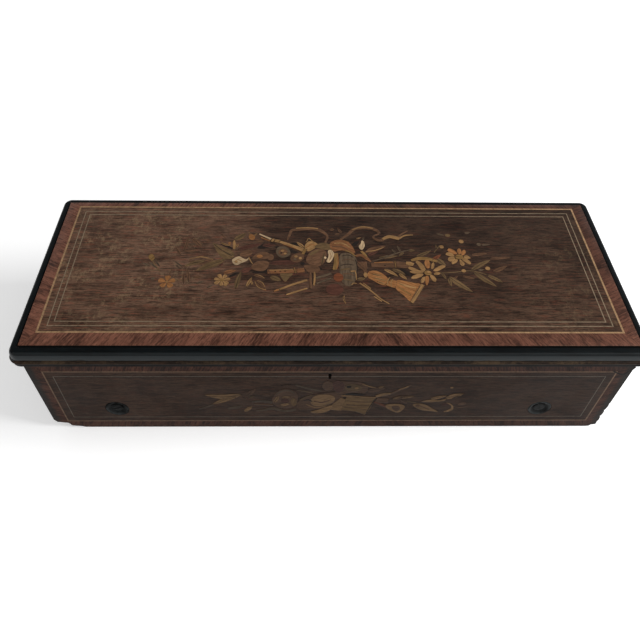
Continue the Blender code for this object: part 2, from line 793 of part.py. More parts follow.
def washer_profile(outer_face):
    """A dished ring: a flat rim, a hollow cup and a hole for the screw."""
    seat = outer_face + WASHER_DEPTH
    hole = SCREW_SHANK_RADIUS + GAP
    cup = SCREW_HEAD_RADIUS + WASHER_CUP_CLEARANCE
    return [
        (hole, seat),
        (hole, seat - WASHER_WEB),
        (cup, seat - WASHER_WEB),
        (WASHER_RADIUS - WASHER_RIM_WIDTH, outer_face + WASHER_RIM_ROUND * 0.4),
        (WASHER_RADIUS - WASHER_RIM_WIDTH / 2, outer_face),
        (WASHER_RADIUS, outer_face + WASHER_RIM_ROUND),
        (WASHER_RADIUS, seat),
    ]


def make_case_screws():
    """The screws through front and back into the bedplate's lugs."""
    face = FRONT_Y + WASHER_SINK
    for side, x in screw_sides():
        ring = turned(washer_profile(face), "Y", x, SCREW_Z)
        make(f"cup_washer_{side}", ring, brass())
        head = face + WASHER_DEPTH - WASHER_WEB - GAP
        end = INSIDE_FRONT_Y + SCREW_BITE
        case_screw(f"case_screw_front_{side}", x, head, end)
        case_screw(
            f"case_screw_back_{side}", x, BACK_Y - SCREW_HEAD_DEPTH - GAP, INSIDE_BACK_Y - SCREW_BITE
        )


def case_screw(name, x, seat, end):
    """One slotted screw whose head lies on the seat, away from its end."""
    out = -1.0 if end > seat else 1.0
    head_low, head_high = sorted((seat, seat + out * SCREW_HEAD_DEPTH))
    head = rod("Y", x, SCREW_Z, SCREW_HEAD_RADIUS, head_low, head_high, 20)
    screw = make(name, head, blued_steel())
    low, high = sorted((seat + out * SCREW_HEAD_DEPTH / 2, end))
    join(screw, rod("Y", x, SCREW_Z, SCREW_SHANK_RADIUS, low, high, 16))
    face = seat + out * SCREW_HEAD_DEPTH
    deep = face - out * SCREW_SLOT_DEPTH
    slot_y = sorted((face + out, deep))
    slot = box(
        (x - SCREW_HEAD_RADIUS - 1.0, x + SCREW_HEAD_RADIUS + 1.0),
        slot_y,
        (SCREW_Z - SCREW_SLOT_WIDTH / 2, SCREW_Z + SCREW_SLOT_WIDTH / 2),
    )
    return cut(screw, slot)


# Hinges


def leaf(name, x, z, knuckles, others):
    """One hinge leaf: a plate, tongues and the knuckles that it carries."""
    half = HINGE_LENGTH / 2
    plate_back = HINGE_Y - KNUCKLE_RADIUS - GAP
    y = (BACK_Y - LEAF_DEPTH, plate_back)
    item = make(name, box((x - half, x + half), y, z), brass())
    for low, high in knuckles:
        tongue = box((x + low, x + high), (plate_back - 2.0, HINGE_Y - HINGE_PIN_RADIUS), z)
        barrel = rod("X", HINGE_Y, HINGE_Z, KNUCKLE_RADIUS, x + low, x + high, 16)
        join(item, tongue, barrel)
    radius = HINGE_PIN_RADIUS + PIN_CLEARANCE
    for low, high in others:
        pin = rod("X", HINGE_Y, HINGE_Z, HINGE_PIN_RADIUS, x + low - 1.0, x + high + 1.0, 12)
        join(item, pin)
    if not others:
        cut(item, rod("X", HINGE_Y, HINGE_Z, radius, x - half, x + half, 12))
    return item


def make_hinges():
    """Two butt hinges, each with a case leaf, its pin, and a lid leaf."""
    half = HINGE_LENGTH / 2
    split = HINGE_LENGTH / 6
    case_z = (BODY_HEIGHT - LEAF_THICKNESS, BODY_HEIGHT - GAP / 2)
    lid_z = (LID_Z + GAP / 2, LID_Z + LEAF_THICKNESS)
    leaves = []
    for side, x in hinge_sides():
        outer = ((-half, -split - GAP), (split + GAP, half))
        leaf(f"hinge_case_leaf_{side}", x, case_z, outer, ((-split, split),))
        leaves.append(leaf(f"hinge_lid_leaf_{side}", x, lid_z, ((-split, split),), ()))
    return leaves


# Lid


def core_limits():
    """The lid board's limits inside its mouldings."""
    x = LID_HALF - MOULDING_WIDTH
    return (-x, x), (LID_FRONT_Y + MOULDING_WIDTH, BACK_Y - MOULDING_WIDTH)


def make_lid_panel():
    """The lid's board, with a recess for the strike."""
    x, y = core_limits()
    x = (x[0] + GAP, x[1] - GAP)
    y = (y[0] + GAP, y[1] - GAP)
    top = LID_TOP_Z - VENEER - GAP
    panel = make("lid_panel", box(x, y, (LID_Z, top)), pine())
    half = STRIKE_LENGTH / 2 + GAP
    middle = lock_middle_y()
    wide = LOCK_CHANNEL_WIDTH / 2 + GAP
    recess = box(
        (-half, half),
        (middle - wide, middle + wide),
        (LID_Z - PAST, LID_Z + STRIKE_THICKNESS + GAP),
    )
    return cut(panel, recess)


def make_lid_veneer():
    """The thin figured sheet that carries the inlay of the lid."""
    x, y = core_limits()
    x = (x[0] + GAP, x[1] - GAP)
    y = (y[0] + GAP, y[1] - GAP)
    return make("lid_veneer", box(x, y, (LID_TOP_Z - VENEER, LID_TOP_Z)), rosewood())


def moulding_profile():
    """The shaped edge: points (distance out from the board, height)."""
    top = LID_TOP_Z - MOULDING_DROP
    waist = LID_Z + MOULDING_WAIST
    start = MOULDING_SHOULDER
    points = [(0.0, LID_Z), (0.0, top)]
    for k in range(6):
        a = math.pi / 2 * k / 5
        out = start + (MOULDING_WIDTH - start) * math.sin(a)
        up = waist + (top - waist) * math.cos(a)
        points.append((out, up))
    inner = MOULDING_WIDTH - MOULDING_STEP
    bead = MOULDING_WIDTH - MOULDING_STEP / 2
    points += [
        (MOULDING_WIDTH, LID_Z + MOULDING_STEP_TOP),
        (inner, LID_Z + MOULDING_STEP_TOP),
        (inner, LID_Z + BEAD_TOP),
        (bead, LID_Z + BEAD_TOP - BEAD_ROUND),
        (bead, LID_Z + BEAD_FOOT + BEAD_ROUND),
        (inner, LID_Z + BEAD_FOOT),
        (inner - BEAD_ROUND, LID_Z),
    ]
    return points


def plain_profile():
    """The back edge: rounded above and flat down to the hinges."""
    shaped = moulding_profile()[:8]
    return shaped + [(MOULDING_WIDTH, LID_Z)]


def moulding(name, profile, corner_left, corner_right, out):
    """A length of edge between two corners of the board, mitred at both ends.

    Corners are (x, y) of the board, and out is the unit direction away from it.
    """
    mesh = bmesh.new()
    left, right = Vector(corner_left), Vector(corner_right)
    along = (right - left).normalized()
    outward = Vector(out)
    ends = []
    for corner, way in ((left, -1.0), (right, 1.0)):
        ring = []
        for distance, height in profile:
            point = corner + outward * distance + along * way * (distance - GAP)
            ring.append(mesh.verts.new(Vector((point.x, point.y, height)) * MM))
        ends.append(ring)
    count = len(profile)
    for i in range(count):
        j = (i + 1) % count
        mesh.faces.new((ends[0][i], ends[0][j], ends[1][j], ends[1][i]))
    mesh.faces.new(ends[0])
    mesh.faces.new(ends[1])
    return make(name, mesh, ebonised())


def make_mouldings():
    """The ebonised edge of the lid in four mitred lengths."""
    x, y = core_limits()
    corners = ((x[0], y[0]), (x[1], y[0]), (x[1], y[1]), (x[0], y[1]))
    shaped = moulding_profile()
    lengths = (
        ("front", shaped, 0, 1, (0.0, -1.0)),
        ("right", shaped, 1, 2, (1.0, 0.0)),
        ("back", plain_profile(), 2, 3, (0.0, 1.0)),
        ("left", shaped, 3, 0, (-1.0, 0.0)),
    )
    made = []
    for side, profile, start, end, out in lengths:
        name = f"lid_moulding_{side}"
        made.append(moulding(name, profile, corners[start], corners[end], out))
    half = HINGE_LENGTH / 2 + GAP
    for _, place_x in hinge_sides():
        recess = box(
            (place_x - half, place_x + half),
            (BACK_Y - LEAF_DEPTH - GAP, BACK_Y + PAST),
            (LID_Z - PAST, LID_Z + LEAF_THICKNESS + GAP),
        )
        cut(made[2], recess, knuckle_groove(place_x, half))
    return made


def make_tune_card():
    """The card tacked inside the lid."""
    x = (-CARD_LENGTH / 2, CARD_LENGTH / 2)
    y = (-CARD_DEPTH / 2, CARD_DEPTH / 2)
    z = (LID_Z - GAP - CARD_THICKNESS, LID_Z - GAP)
    return make("tune_card", box(x, y, z), paper())


def make_lid(leaves):
    """The whole lid, hung on its hinge axis."""
    pieces = [make_lid_panel(), make_lid_veneer(), make_strike(), make_tune_card()]
    pieces += make_mouldings() + leaves
    hang(axle("lid_hinge", 0.0, HINGE_Y, HINGE_Z), *pieces)


# Glass lid


def make_glass_lid():
    """Four ebonised rails round a pane, on two pins of the back rail."""
    z = (GLASS_BOTTOM, GLASS_TOP)
    inner_x = (GLASS_LEFT_X + RAIL_WIDTH, GLASS_RIGHT_X - RAIL_WIDTH)
    inner_y = (GLASS_FRONT_Y + RAIL_WIDTH, GLASS_BACK_Y - RAIL_WIDTH)
    full_x = (GLASS_LEFT_X, GLASS_RIGHT_X)
    side_y = (inner_y[0] + GAP, inner_y[1] - GAP)
    front = make("glass_frame_front", box(full_x, (GLASS_FRONT_Y, inner_y[0]), z), ebonised())
    back = make("glass_frame_back", box(full_x, (inner_y[1], GLASS_BACK_Y), z), ebonised())
    for low, high in (
        (GLASS_LEFT_X - GLASS_PIN_REACH, GLASS_LEFT_X + GLASS_PIN_REACH - 1.0),
        (GLASS_RIGHT_X - GLASS_PIN_REACH + 1.0, GLASS_RIGHT_X + GLASS_PIN_REACH),
    ):
        pin = rod("X", GLASS_AXIS_Y, GLASS_AXIS_Z, GLASS_PIN_RADIUS, low, high, 12)
        join(back, pin)
    left = make("glass_frame_left", box((GLASS_LEFT_X, inner_x[0]), side_y, z), ebonised())
    right = make("glass_frame_right", box((inner_x[1], GLASS_RIGHT_X), side_y, z), ebonised())
    pane = box(
        (inner_x[0] + GAP, inner_x[1] - GAP),
        side_y,
        (GLASS_AXIS_Z - GLASS_THICKNESS / 2, GLASS_AXIS_Z + GLASS_THICKNESS / 2),
    )
    sheet = make("glass_pane", pane, glass())
    hinge = axle("glass_lid_hinge", 0.0, GLASS_AXIS_Y, GLASS_AXIS_Z)
    hang(hinge, front, back, left, right, sheet)


# Bedplate and bearings


def make_bedplate():
    """The cast plate under the movement, with four lugs that the case screws hold."""
    x = (BED_LEFT_X, BED_RIGHT_X)
    z = (BED_BOTTOM, BED_TOP)
    bed = make("bedplate", box(x, (BED_FRONT_Y, BED_BACK_Y), z), cast_iron())
    for _, x in screw_sides():
        half = LUG_LENGTH / 2
        for near, far, end, bite in (
            (INSIDE_FRONT_Y + GAP, INSIDE_FRONT_Y + LUG_DEPTH, INSIDE_FRONT_Y - PAST, SCREW_BITE),
            (INSIDE_BACK_Y - GAP, INSIDE_BACK_Y - LUG_DEPTH, INSIDE_BACK_Y + PAST, -SCREW_BITE),
        ):
            lug = box(
                (x - half, x + half),
                sorted((near, far)),
                (BOTTOM_THICKNESS + GAP, BED_TOP),
            )
            join(bed, lug)
            wall = INSIDE_FRONT_Y if bite > 0 else INSIDE_BACK_Y
            deep = wall + bite + math.copysign(1.0, bite)
            hole = rod("Y", x, SCREW_Z, SCREW_SHANK_RADIUS + GAP, *sorted((end, deep)), 16)
            cut(bed, hole)


def bearing(name, low_x, y, z, bore, crown=BEARING_CROWN):
    """An upright plate on the bedplate with a hole for an arbor."""
    half = BEARING_WIDTH / 2
    top = z + crown
    shoulder = top - BEARING_CHAMFER
    outline = [
        (y - half, MOVEMENT_Z),
        (y + half, MOVEMENT_Z),
        (y + half, shoulder),
        (y + half - BEARING_CHAMFER, top),
        (y - half + BEARING_CHAMFER, top),
        (y - half, shoulder),
    ]
    plate = make(name, prism(outline, "X", low_x, low_x + BEARING_THICKNESS), brass())
    reach = (low_x - PAST, low_x + BEARING_THICKNESS + PAST)
    return cut(plate, rod("X", y, z, bore, *reach, 20))


def make_bearings():
    """The bearings of the cylinder and of the spring barrel."""
    bore = ARBOR_RADIUS + ARBOR_CLEARANCE
    bearing("cylinder_bearing_left", CYLINDER_LEFT_BEARING_X, CYLINDER_AXIS_Y, CYLINDER_Z, bore)
    bearing("cylinder_bearing_right", CYLINDER_RIGHT_BEARING_X, CYLINDER_AXIS_Y, CYLINDER_Z, bore)
    bearing("barrel_bridge_left", BARREL_BEARING_X, BARREL_Y, BARREL_Z, bore)
    bearing("barrel_bridge_right", BARREL_RIGHT_BEARING_X, BARREL_Y, BARREL_Z, bore)


# Comb


def comb_x():
    """The comb's length, along the cylinder."""
    return CYLINDER_X + COMB_END_MARGIN, CYLINDER_RIGHT_X - 2 * COMB_END_MARGIN


def make_comb():
    """The slotted steel comb."""
    low, high = comb_x()
    pitch = (high - low) / COMB_TEETH
    points = [(low, COMB_FRONT_Y), (high, COMB_FRONT_Y)]
    for k in reversed(range(COMB_TEETH)):
        left = low + k * pitch
        right = left + pitch - COMB_SLOT
        if k == COMB_TEETH - 1:
            right = high
        points += [(right, COMB_TIP_Y), (left, COMB_TIP_Y)]
        if k > 0:
            points += [(left, COMB_HEEL_Y), (left - COMB_SLOT, COMB_HEEL_Y)]
    make("comb", prism(points, "Z", COMB_Z, COMB_Z + COMB_THICKNESS), steel())


def make_comb_base():
    """The brass bracket that carries the comb above the bedplate."""
    low, high = comb_x()
    top = COMB_Z - GAP
    front = COMB_FRONT_Y - COMB_BASE_LIP
    outline = [
        (front, MOVEMENT_Z),
        (front + COMB_BASE_WEB, MOVEMENT_Z),
        (front + COMB_BASE_WEB, top - COMB_BASE_FLANGE),
        (COMB_HEEL_Y - COMB_BASE_LIP, top - COMB_BASE_FLANGE),
        (COMB_HEEL_Y - COMB_BASE_LIP, top),
        (front, top),
    ]
    length = (low - COMB_BASE_MARGIN, high + COMB_BASE_MARGIN)
    make("comb_base", prism(outline, "X", *length), brass())


# Spring barrel


def make_barrel():
    """The toothed drum, its cap and the mainspring inside."""
    centre = (BARREL_Y, BARREL_Z)
    wheel_x = (BARREL_WHEEL_X, BARREL_WHEEL_X + BARREL_WHEEL_WIDTH)
    turn = mesh_turn(0.0, PINION_LEAVES, BARREL_TEETH, barrel_bearing_angle())
    barrel = gear("spring_barrel", BARREL_TEETH, TRAIN_MODULE, centre, *wheel_x, turn, brass())
    bore = ARBOR_RADIUS + ARBOR_CLEARANCE
    inner = BARREL_RADIUS - BARREL_SKIN
    shell = [
        (BARREL_RADIUS, BARREL_X),
        (BARREL_RADIUS, BARREL_WHEEL_X + 1.0),
        (bore, BARREL_WHEEL_X + 1.0),
        (bore, BARREL_WHEEL_X - BARREL_END),
        (inner, BARREL_WHEEL_X - BARREL_END),
        (inner, BARREL_X),
    ]
    hole = rod("X", *centre, bore, BARREL_X, wheel_x[1] + PAST, 24)
    cut(barrel, hole)
    join(barrel, turned(shell, "X", *centre))
    lip = BARREL_X + 0.5
    cap_ring = [
        (bore, lip),
        (inner - GAP, lip),
        (inner - GAP, lip + BARREL_END),
        (bore, lip + BARREL_END),
    ]
    cap = make("barrel_cap", turned(cap_ring, "X", *centre), brass())
    spring = make_mainspring(lip + BARREL_END + 1.0, BARREL_WHEEL_X - BARREL_END - 1.0, inner)
    hang(axle("barrel_spin", BARREL_X, *centre), barrel, cap, spring)


def barrel_bearing_angle():
    """The direction from the cylinder's axis to the barrel's, in the YZ plane."""
    return math.atan2(BARREL_Z - CYLINDER_Z, BARREL_Y - CYLINDER_AXIS_Y)


def make_mainspring(low, high, inner):
    """A flat steel strip wound in a spiral, open at both ends."""
    start = ARBOR_RADIUS + ARBOR_CLEARANCE + 2.5
    flat = inner * math.cos(math.pi / ROUND_SIDES)
    end = flat - SPRING_STRIP / 2 - GAP
    steps = int(SPRING_TURNS * 14)
    outline = []
    for side in (1.0, -1.0):
        walk = range(steps + 1) if side > 0 else reversed(range(steps + 1))
        for k in walk:
            a = 2 * math.pi * SPRING_TURNS * k / steps
            radius = start + (end - start) * k / steps + side * SPRING_STRIP / 2
            outline.append((BARREL_Y + radius * math.cos(a), BARREL_Z + radius * math.sin(a)))
    return make("mainspring", prism(outline, "X", low, high), blued_steel())


def ratchet_phase():
    """The angle of a ratchet tooth's steep face, where the pawl's nose pushes it."""
    return LEVER_REST_DEG + PAWL_LEAD_DEG


def polar(radius, degrees):
    """A point about the barrel's axis; 0 degrees is to the front and 90 is up."""
    a = math.radians(degrees)
    return BARREL_Y - radius * math.cos(a), BARREL_Z + radius * math.sin(a)


def make_arbor():
    """The winding arbor and its ratchet wheel."""
    right = BARREL_RIGHT_BEARING_X + BEARING_THICKNESS + ARBOR_STUB
    bar = rod("X", BARREL_Y, BARREL_Z, ARBOR_RADIUS, ARBOR_LEFT_X, right, 20)
    arbor = make("barrel_arbor", bar, steel())
    step = 360.0 / RATCHET_TEETH
    points = []
    for k in range(RATCHET_TEETH):
        a = ratchet_phase() + k * step
        points += [polar(RATCHET_ROOT_RADIUS, a), polar(RATCHET_TIP_RADIUS, a)]
    wheel = make(
        "ratchet_wheel", prism(points, "X", RATCHET_X, RATCHET_X + RATCHET_WIDTH), steel()
    )
    inner = rod("X", BARREL_Y, BARREL_Z, ARBOR_RADIUS + GAP, RATCHET_X - PAST, RATCHET_X + PAST, 20)
    cut(wheel, inner)
    hang(axle("arbor_wind", RATCHET_X, BARREL_Y, BARREL_Z), arbor, wheel)


def catch(name, pivot_angle, nose_angle, nose_radius):
    """A pivoted bar whose nose lies on the ratchet, pushing the way it winds."""
    low, high = RATCHET_X + GAP, RATCHET_X + RATCHET_WIDTH - GAP
    pivot = Vector(polar(CATCH_PIVOT_RADIUS, pivot_angle))
    tip = Vector(polar(nose_radius, nose_angle))
    foot = Vector(polar(nose_radius + CATCH_NOSE_DEPTH, nose_angle))
    back = Vector(polar(nose_radius + CATCH_NOSE_BACK, nose_angle - CATCH_NOSE_DEG))
    side = (tip - pivot).normalized()
    across = Vector((-side.y, side.x)) * CATCH_BAR_WIDTH / 2
    if (foot - pivot).dot(across) < 0:
        across.negate()
    outline = [pivot - across, back, tip, foot, pivot + across]
    boss = circle(pivot.x, pivot.y, CATCH_BOSS_RADIUS, 16)
    item = make(name, prism([tuple(p) for p in outline], "X", low, high), steel())
    join(item, prism(boss, "X", low, high))
    hole = circle(pivot.x, pivot.y, CATCH_PIN_RADIUS + PIN_CLEARANCE, 12)
    cut(item, prism(hole, "X", low - PAST, high + PAST))
    hang(axle(f"{name}_rock", low, pivot.x, pivot.y), item)
    return item


def make_winding_lever():
    """The lever on the arbor, its grip and its pawl."""
    centre = (BARREL_Y, BARREL_Z)
    hub = rod("X", *centre, LEVER_HUB_RADIUS, LEVER_X, LEVER_X + LEVER_HUB_WIDTH, 24)
    lever = make("winding_lever", hub, steel())
    end = Vector(polar(LEVER_LENGTH, LEVER_REST_DEG))
    start = Vector(centre)
    along = (end - start).normalized()
    across = Vector((-along.y, along.x)) * LEVER_WIDTH / 2
    tip = end + along * LEVER_TIP
    narrow = across * LEVER_TAPER
    bar = [start - across, tip - narrow, tip + narrow, start + across]
    arm_x = (LEVER_ARM_X, LEVER_ARM_X + LEVER_THICKNESS)
    join(lever, prism([tuple(p) for p in bar], "X", *arm_x))
    pin_angle = LEVER_REST_DEG + PAWL_PIVOT_LEAD
    pivot = Vector(polar(CATCH_PIVOT_RADIUS, pin_angle))
    ear = [
        tuple(start + along * LEVER_TIP),
        tuple(pivot + along * 5.0),
        polar(EAR_OUTSIDE_RADIUS, pin_angle + 6.0),
        polar(EAR_BACK_RADIUS, pin_angle + 10.0),
        polar(EAR_ROOT_RADIUS, pin_angle + 30.0),
    ]
    join(lever, prism(ear, "X", *arm_x))
    stud = rod("X", *pivot, CATCH_PIN_RADIUS, arm_x[1] - 2.0, RATCHET_X + RATCHET_WIDTH + 0.5, 12)
    join(lever, stud)
    bore = rod("X", *centre, ARBOR_RADIUS + ARBOR_CLEARANCE, LEVER_X - PAST, arm_x[1] + PAST, 20)
    cut(lever, bore)
    low = LEVER_ARM_X - GRIP_LENGTH - GAP
    grip = turned(grip_profile(low), "X", *end, 20)
    handle = make("lever_grip", grip, ebonised())
    stem = rod("X", *end, GRIP_STEM_RADIUS, low + 3.0, LEVER_ARM_X + 1.0, 12)
    join(lever, stem)
    swing = axle("lever_swing", LEVER_X, *centre)
    hang(swing, lever, handle)


def grip_profile(low):
    """A turned handle with a bore for the lever's stem."""
    bore = GRIP_STEM_RADIUS + GAP
    high = low + GRIP_LENGTH
    return [
        (bore, low),
        (GRIP_RADIUS - 2.0, low),
        (GRIP_RADIUS, low + 3.0),
        (GRIP_RADIUS, low + GRIP_LENGTH * 0.5),
        (GRIP_RADIUS - 2.5, high - 3.0),
        (GRIP_RADIUS - 1.5, high),
        (bore, high),
    ]


def make_catches():
    """The lever's pawl and the click that holds the spring's pull."""
    pawl_pivot = LEVER_REST_DEG + PAWL_PIVOT_LEAD
    pawl_nose = ratchet_phase() - PAWL_PLAY_DEG
    catch("lever_pawl", pawl_pivot, pawl_nose, RATCHET_ROOT_RADIUS + GAP)
    catch("click", CLICK_PIVOT_DEG, CLICK_NOSE_DEG, RATCHET_TIP_RADIUS + GAP)
    bridge_top = CATCH_PIVOT_RADIUS + CATCH_BOSS_RADIUS + 0.5
    bridge = bearing(
        "click_bridge", CLICK_BRIDGE_X, BARREL_Y, BARREL_Z, ARBOR_RADIUS + ARBOR_CLEARANCE, bridge_top
    )
    pivot = polar(CATCH_PIVOT_RADIUS, CLICK_PIVOT_DEG)
    join(bridge, rod("X", *pivot, CATCH_PIN_RADIUS, RATCHET_X, CLICK_BRIDGE_X + 1.0, 12))


# Music cylinder


def make_cylinder():
    """The cylinder, which slides on its arbor, with the arbor's pinion and wheel."""
    centre = (CYLINDER_AXIS_Y, CYLINDER_Z)
    pinion_x = BARREL_WHEEL_X + (BARREL_WHEEL_WIDTH - PINION_LENGTH) / 2
    right = CYLINDER_WHEEL_X + WHEEL_WIDTH + 1.0
    bar = rod("X", *centre, ARBOR_RADIUS, pinion_x + 1.0, right, 20)
    arbor = make("cylinder_arbor", bar, steel())
    leaves = tooth_circle(PINION_LEAVES, TRAIN_MODULE, *centre, 0.0)
    join(arbor, prism(leaves, "X", pinion_x, pinion_x + PINION_LENGTH))
    wheel_x = (CYLINDER_WHEEL_X, CYLINDER_WHEEL_X + WHEEL_WIDTH)
    wheel = gear("cylinder_wheel", CYLINDER_TEETH, TRAIN_MODULE, centre, *wheel_x, 0.0, brass())
    cut(wheel, rod("X", *centre, ARBOR_RADIUS + GAP, wheel_x[0] - PAST, wheel_x[1] + PAST, 20))
    spin = axle("cylinder_spin", CYLINDER_X, *centre)
    hang(spin, arbor, wheel)
    shift = axle("cylinder_shift", CYLINDER_X, *centre)
    hang(shift, make_drum(centre))


def make_drum(centre):
    """The hollow brass cylinder with bored ends."""
    bore = ARBOR_RADIUS + ARBOR_CLEARANCE
    inner = CYLINDER_RADIUS - CYLINDER_SKIN
    left, right = CYLINDER_X, CYLINDER_RIGHT_X
    profile = [
        (CYLINDER_RADIUS, left),
        (CYLINDER_RADIUS, right),
        (bore, right),
        (bore, right - CYLINDER_END),
        (inner, right - CYLINDER_END),
        (inner, left + CYLINDER_END),
        (bore, left + CYLINDER_END),
        (bore, left),
    ]
    return make("music_cylinder", turned(profile, "X", *centre, 40), brass())


# Governor


def first_turn():
    """The first pinion's turn, in mesh with the cylinder's wheel."""
    bearing_angle = math.radians(FIRST_ARBOR_DEG)
    return mesh_turn(0.0, CYLINDER_TEETH, PINION_LEAVES, bearing_angle)


def make_first_wheel():
    """The governor's first arbor: a pinion outside the frame and a wheel inside."""
    centre = (FIRST_Y, FIRST_Z)
    wheel_x = (FIRST_WHEEL_X, FIRST_WHEEL_X + WHEEL_WIDTH - 1.0)
    wheel = gear(
        "governor_first_wheel", FIRST_WHEEL_TEETH, GOVERNOR_MODULE, centre, *wheel_x, 0.0, brass()
    )
    leaves = tooth_circle(PINION_LEAVES, TRAIN_MODULE, *centre, first_turn())
    pinion_x = CYLINDER_WHEEL_X - 1.0
    far = GOVERNOR_RIGHT_X - 1.0
    join(wheel, rod("X", *centre, SPINDLE_RADIUS, pinion_x + 1.0, far, 12))
    join(wheel, prism(leaves, "X", pinion_x, CYLINDER_WHEEL_X + WHEEL_WIDTH + 0.5))
    hang(axle("governor_first_spin", FIRST_WHEEL_X, *centre), wheel)


def make_second_wheel():
    """The governor's second arbor: a pinion and the wheel that drives the worm."""
    centre = (SECOND_Y, SECOND_Z)
    turn = mesh_turn(0.0, FIRST_WHEEL_TEETH, SECOND_PINION_LEAVES, math.radians(SECOND_ARBOR_DEG))
    worm_x = (WORM_WHEEL_X, WORM_WHEEL_X + WORM_WHEEL_WIDTH)
    item = gear(
        "governor_second_wheel", WORM_WHEEL_TEETH, TRAIN_MODULE, centre, *worm_x, 0.0, brass()
    )
    inner_left = GOVERNOR_LEFT_X + 1.0
    far = GOVERNOR_RIGHT_X - 1.0
    join(item, rod("X", *centre, SPINDLE_RADIUS, inner_left, far, 12))
    leaves = tooth_circle(SECOND_PINION_LEAVES, GOVERNOR_MODULE, *centre, turn)
    pinion_x = (FIRST_WHEEL_X - 0.8, FIRST_WHEEL_X + WHEEL_WIDTH)
    join(item, prism(leaves, "X", *pinion_x))
    hang(axle("governor_second_spin", WORM_WHEEL_X, *centre), item)


def worm_thread(low):
    """A thread of square section along a helix, closed at both ends."""
    mesh = bmesh.new()
    lead = math.pi * TRAIN_MODULE
    steps = int(WORM_TURNS * 14)
    section = (
        (WORM_CORE_RADIUS - 0.5, -WORM_THREAD * 0.7),
        (WORM_TIP_RADIUS, -WORM_THREAD / 2),
        (WORM_TIP_RADIUS, WORM_THREAD / 2),
        (WORM_CORE_RADIUS - 0.5, WORM_THREAD * 0.7),
    )
    rings = []
    for k in range(steps + 1):
        a = 2 * math.pi * WORM_TURNS * k / steps
        rise = low + lead * WORM_TURNS * k / steps
        ring = [
            mesh.verts.new(
                place("Z", WORM_X + r * math.cos(a), WORM_Y + r * math.sin(a), rise + h)
            )
            for r, h in section
        ]
        rings.append(ring)
    for here, there in zip(rings, rings[1:]):
        for i in range(4):
            j = (i + 1) % 4
            mesh.faces.new((here[i], here[j], there[j], there[i]))
    mesh.faces.new(rings[0])
    mesh.faces.new(rings[-1])
    return mesh


def make_fan():
    """The worm, with the two blades of the air brake above it."""
    lead = math.pi * TRAIN_MODULE
    length = lead * WORM_TURNS
    low = worm_start()
    core = rod("Z", WORM_X, WORM_Y, WORM_CORE_RADIUS, low - 1.5, low + length + 1.5, 16)
    fan = make("governor_fan", core, steel())
    join(fan, worm_thread(low))
    foot = MOVEMENT_Z + 1.0
    top = BLADE_TOP + 3.5
    join(fan, rod("Z", WORM_X, WORM_Y, SPINDLE_RADIUS, foot, top, 12))
    blade = box(
        (WORM_X - FAN_RADIUS, WORM_X + FAN_RADIUS),
        (WORM_Y - FAN_BLADE / 2, WORM_Y + FAN_BLADE / 2),
        (BLADE_BOTTOM, BLADE_TOP),
    )
    join(fan, blade)
    hang(axle("fan_spin", WORM_X, WORM_Y, low), fan)


def worm_start():
    """The thread's foot, set so that a gap of the thread faces a tooth of its wheel."""
    lead = math.pi * TRAIN_MODULE
    middle = SECOND_Z - lead * WORM_TURNS / 2
    facing = -math.pi / 2
    phase = facing / (2 * math.pi) * lead
    offset = (SECOND_Z - middle - phase) / lead
    return middle + (offset - math.floor(offset) - 0.5) * lead


def make_governor_frame():
    """The base with two upright plates, and the cock over the fan."""
    y = (FIRST_Y - FRAME_MARGIN, WORM_Y + FAN_RADIUS + FRAME_MARGIN)
    x = (GOVERNOR_LEFT_X, GOVERNOR_RIGHT_X)
    base = (MOVEMENT_Z, MOVEMENT_Z + GOVERNOR_BASE)
    frame = make("governor_frame", box(x, y, base), brass())
    plate_y = (FIRST_Y - FRAME_MARGIN, SECOND_Y + FRAME_BACK_MARGIN)
    plate_top = SECOND_Z + FRAME_MARGIN
    for low in (GOVERNOR_LEFT_X, GOVERNOR_RIGHT_X - GOVERNOR_PLATE):
        upright = box((low, low + GOVERNOR_PLATE), plate_y, (MOVEMENT_Z + 1.0, plate_top))
        join(frame, upright)
    bore = SPINDLE_RADIUS + SPINDLE_CLEARANCE
    for centre in ((FIRST_Y, FIRST_Z), (SECOND_Y, SECOND_Z)):
        cut(frame, rod("X", *centre, bore, GOVERNOR_LEFT_X - PAST, GOVERNOR_RIGHT_X + PAST, 12))
    cut(frame, rod("Z", WORM_X, WORM_Y, bore, MOVEMENT_Z - PAST, MOVEMENT_Z + 20.0, 12))
    pillar = WORM_Y + FAN_RADIUS + WHEEL_SPACE
    pillar_y = (pillar, pillar + COCK_PILLAR_DEPTH)
    cock_x = (WORM_X - COCK_HALF_WIDTH, WORM_X + COCK_HALF_WIDTH)
    arm_foot = BLADE_TOP + COCK_FAN_SPACE
    arm_z = (arm_foot, arm_foot + COCK_THICKNESS)
    cock = make("governor_cock", box(cock_x, pillar_y, (base[1] + GAP, arm_z[1])), brass())
    arm = box(cock_x, (WORM_Y - COCK_HALF_WIDTH, pillar_y[1] - 1.0), arm_z)
    join(cock, arm)
    cut(cock, rod("Z", WORM_X, WORM_Y, bore, BLADE_TOP - 1.0, BLADE_TOP + 20.0, 12))


# Control levers


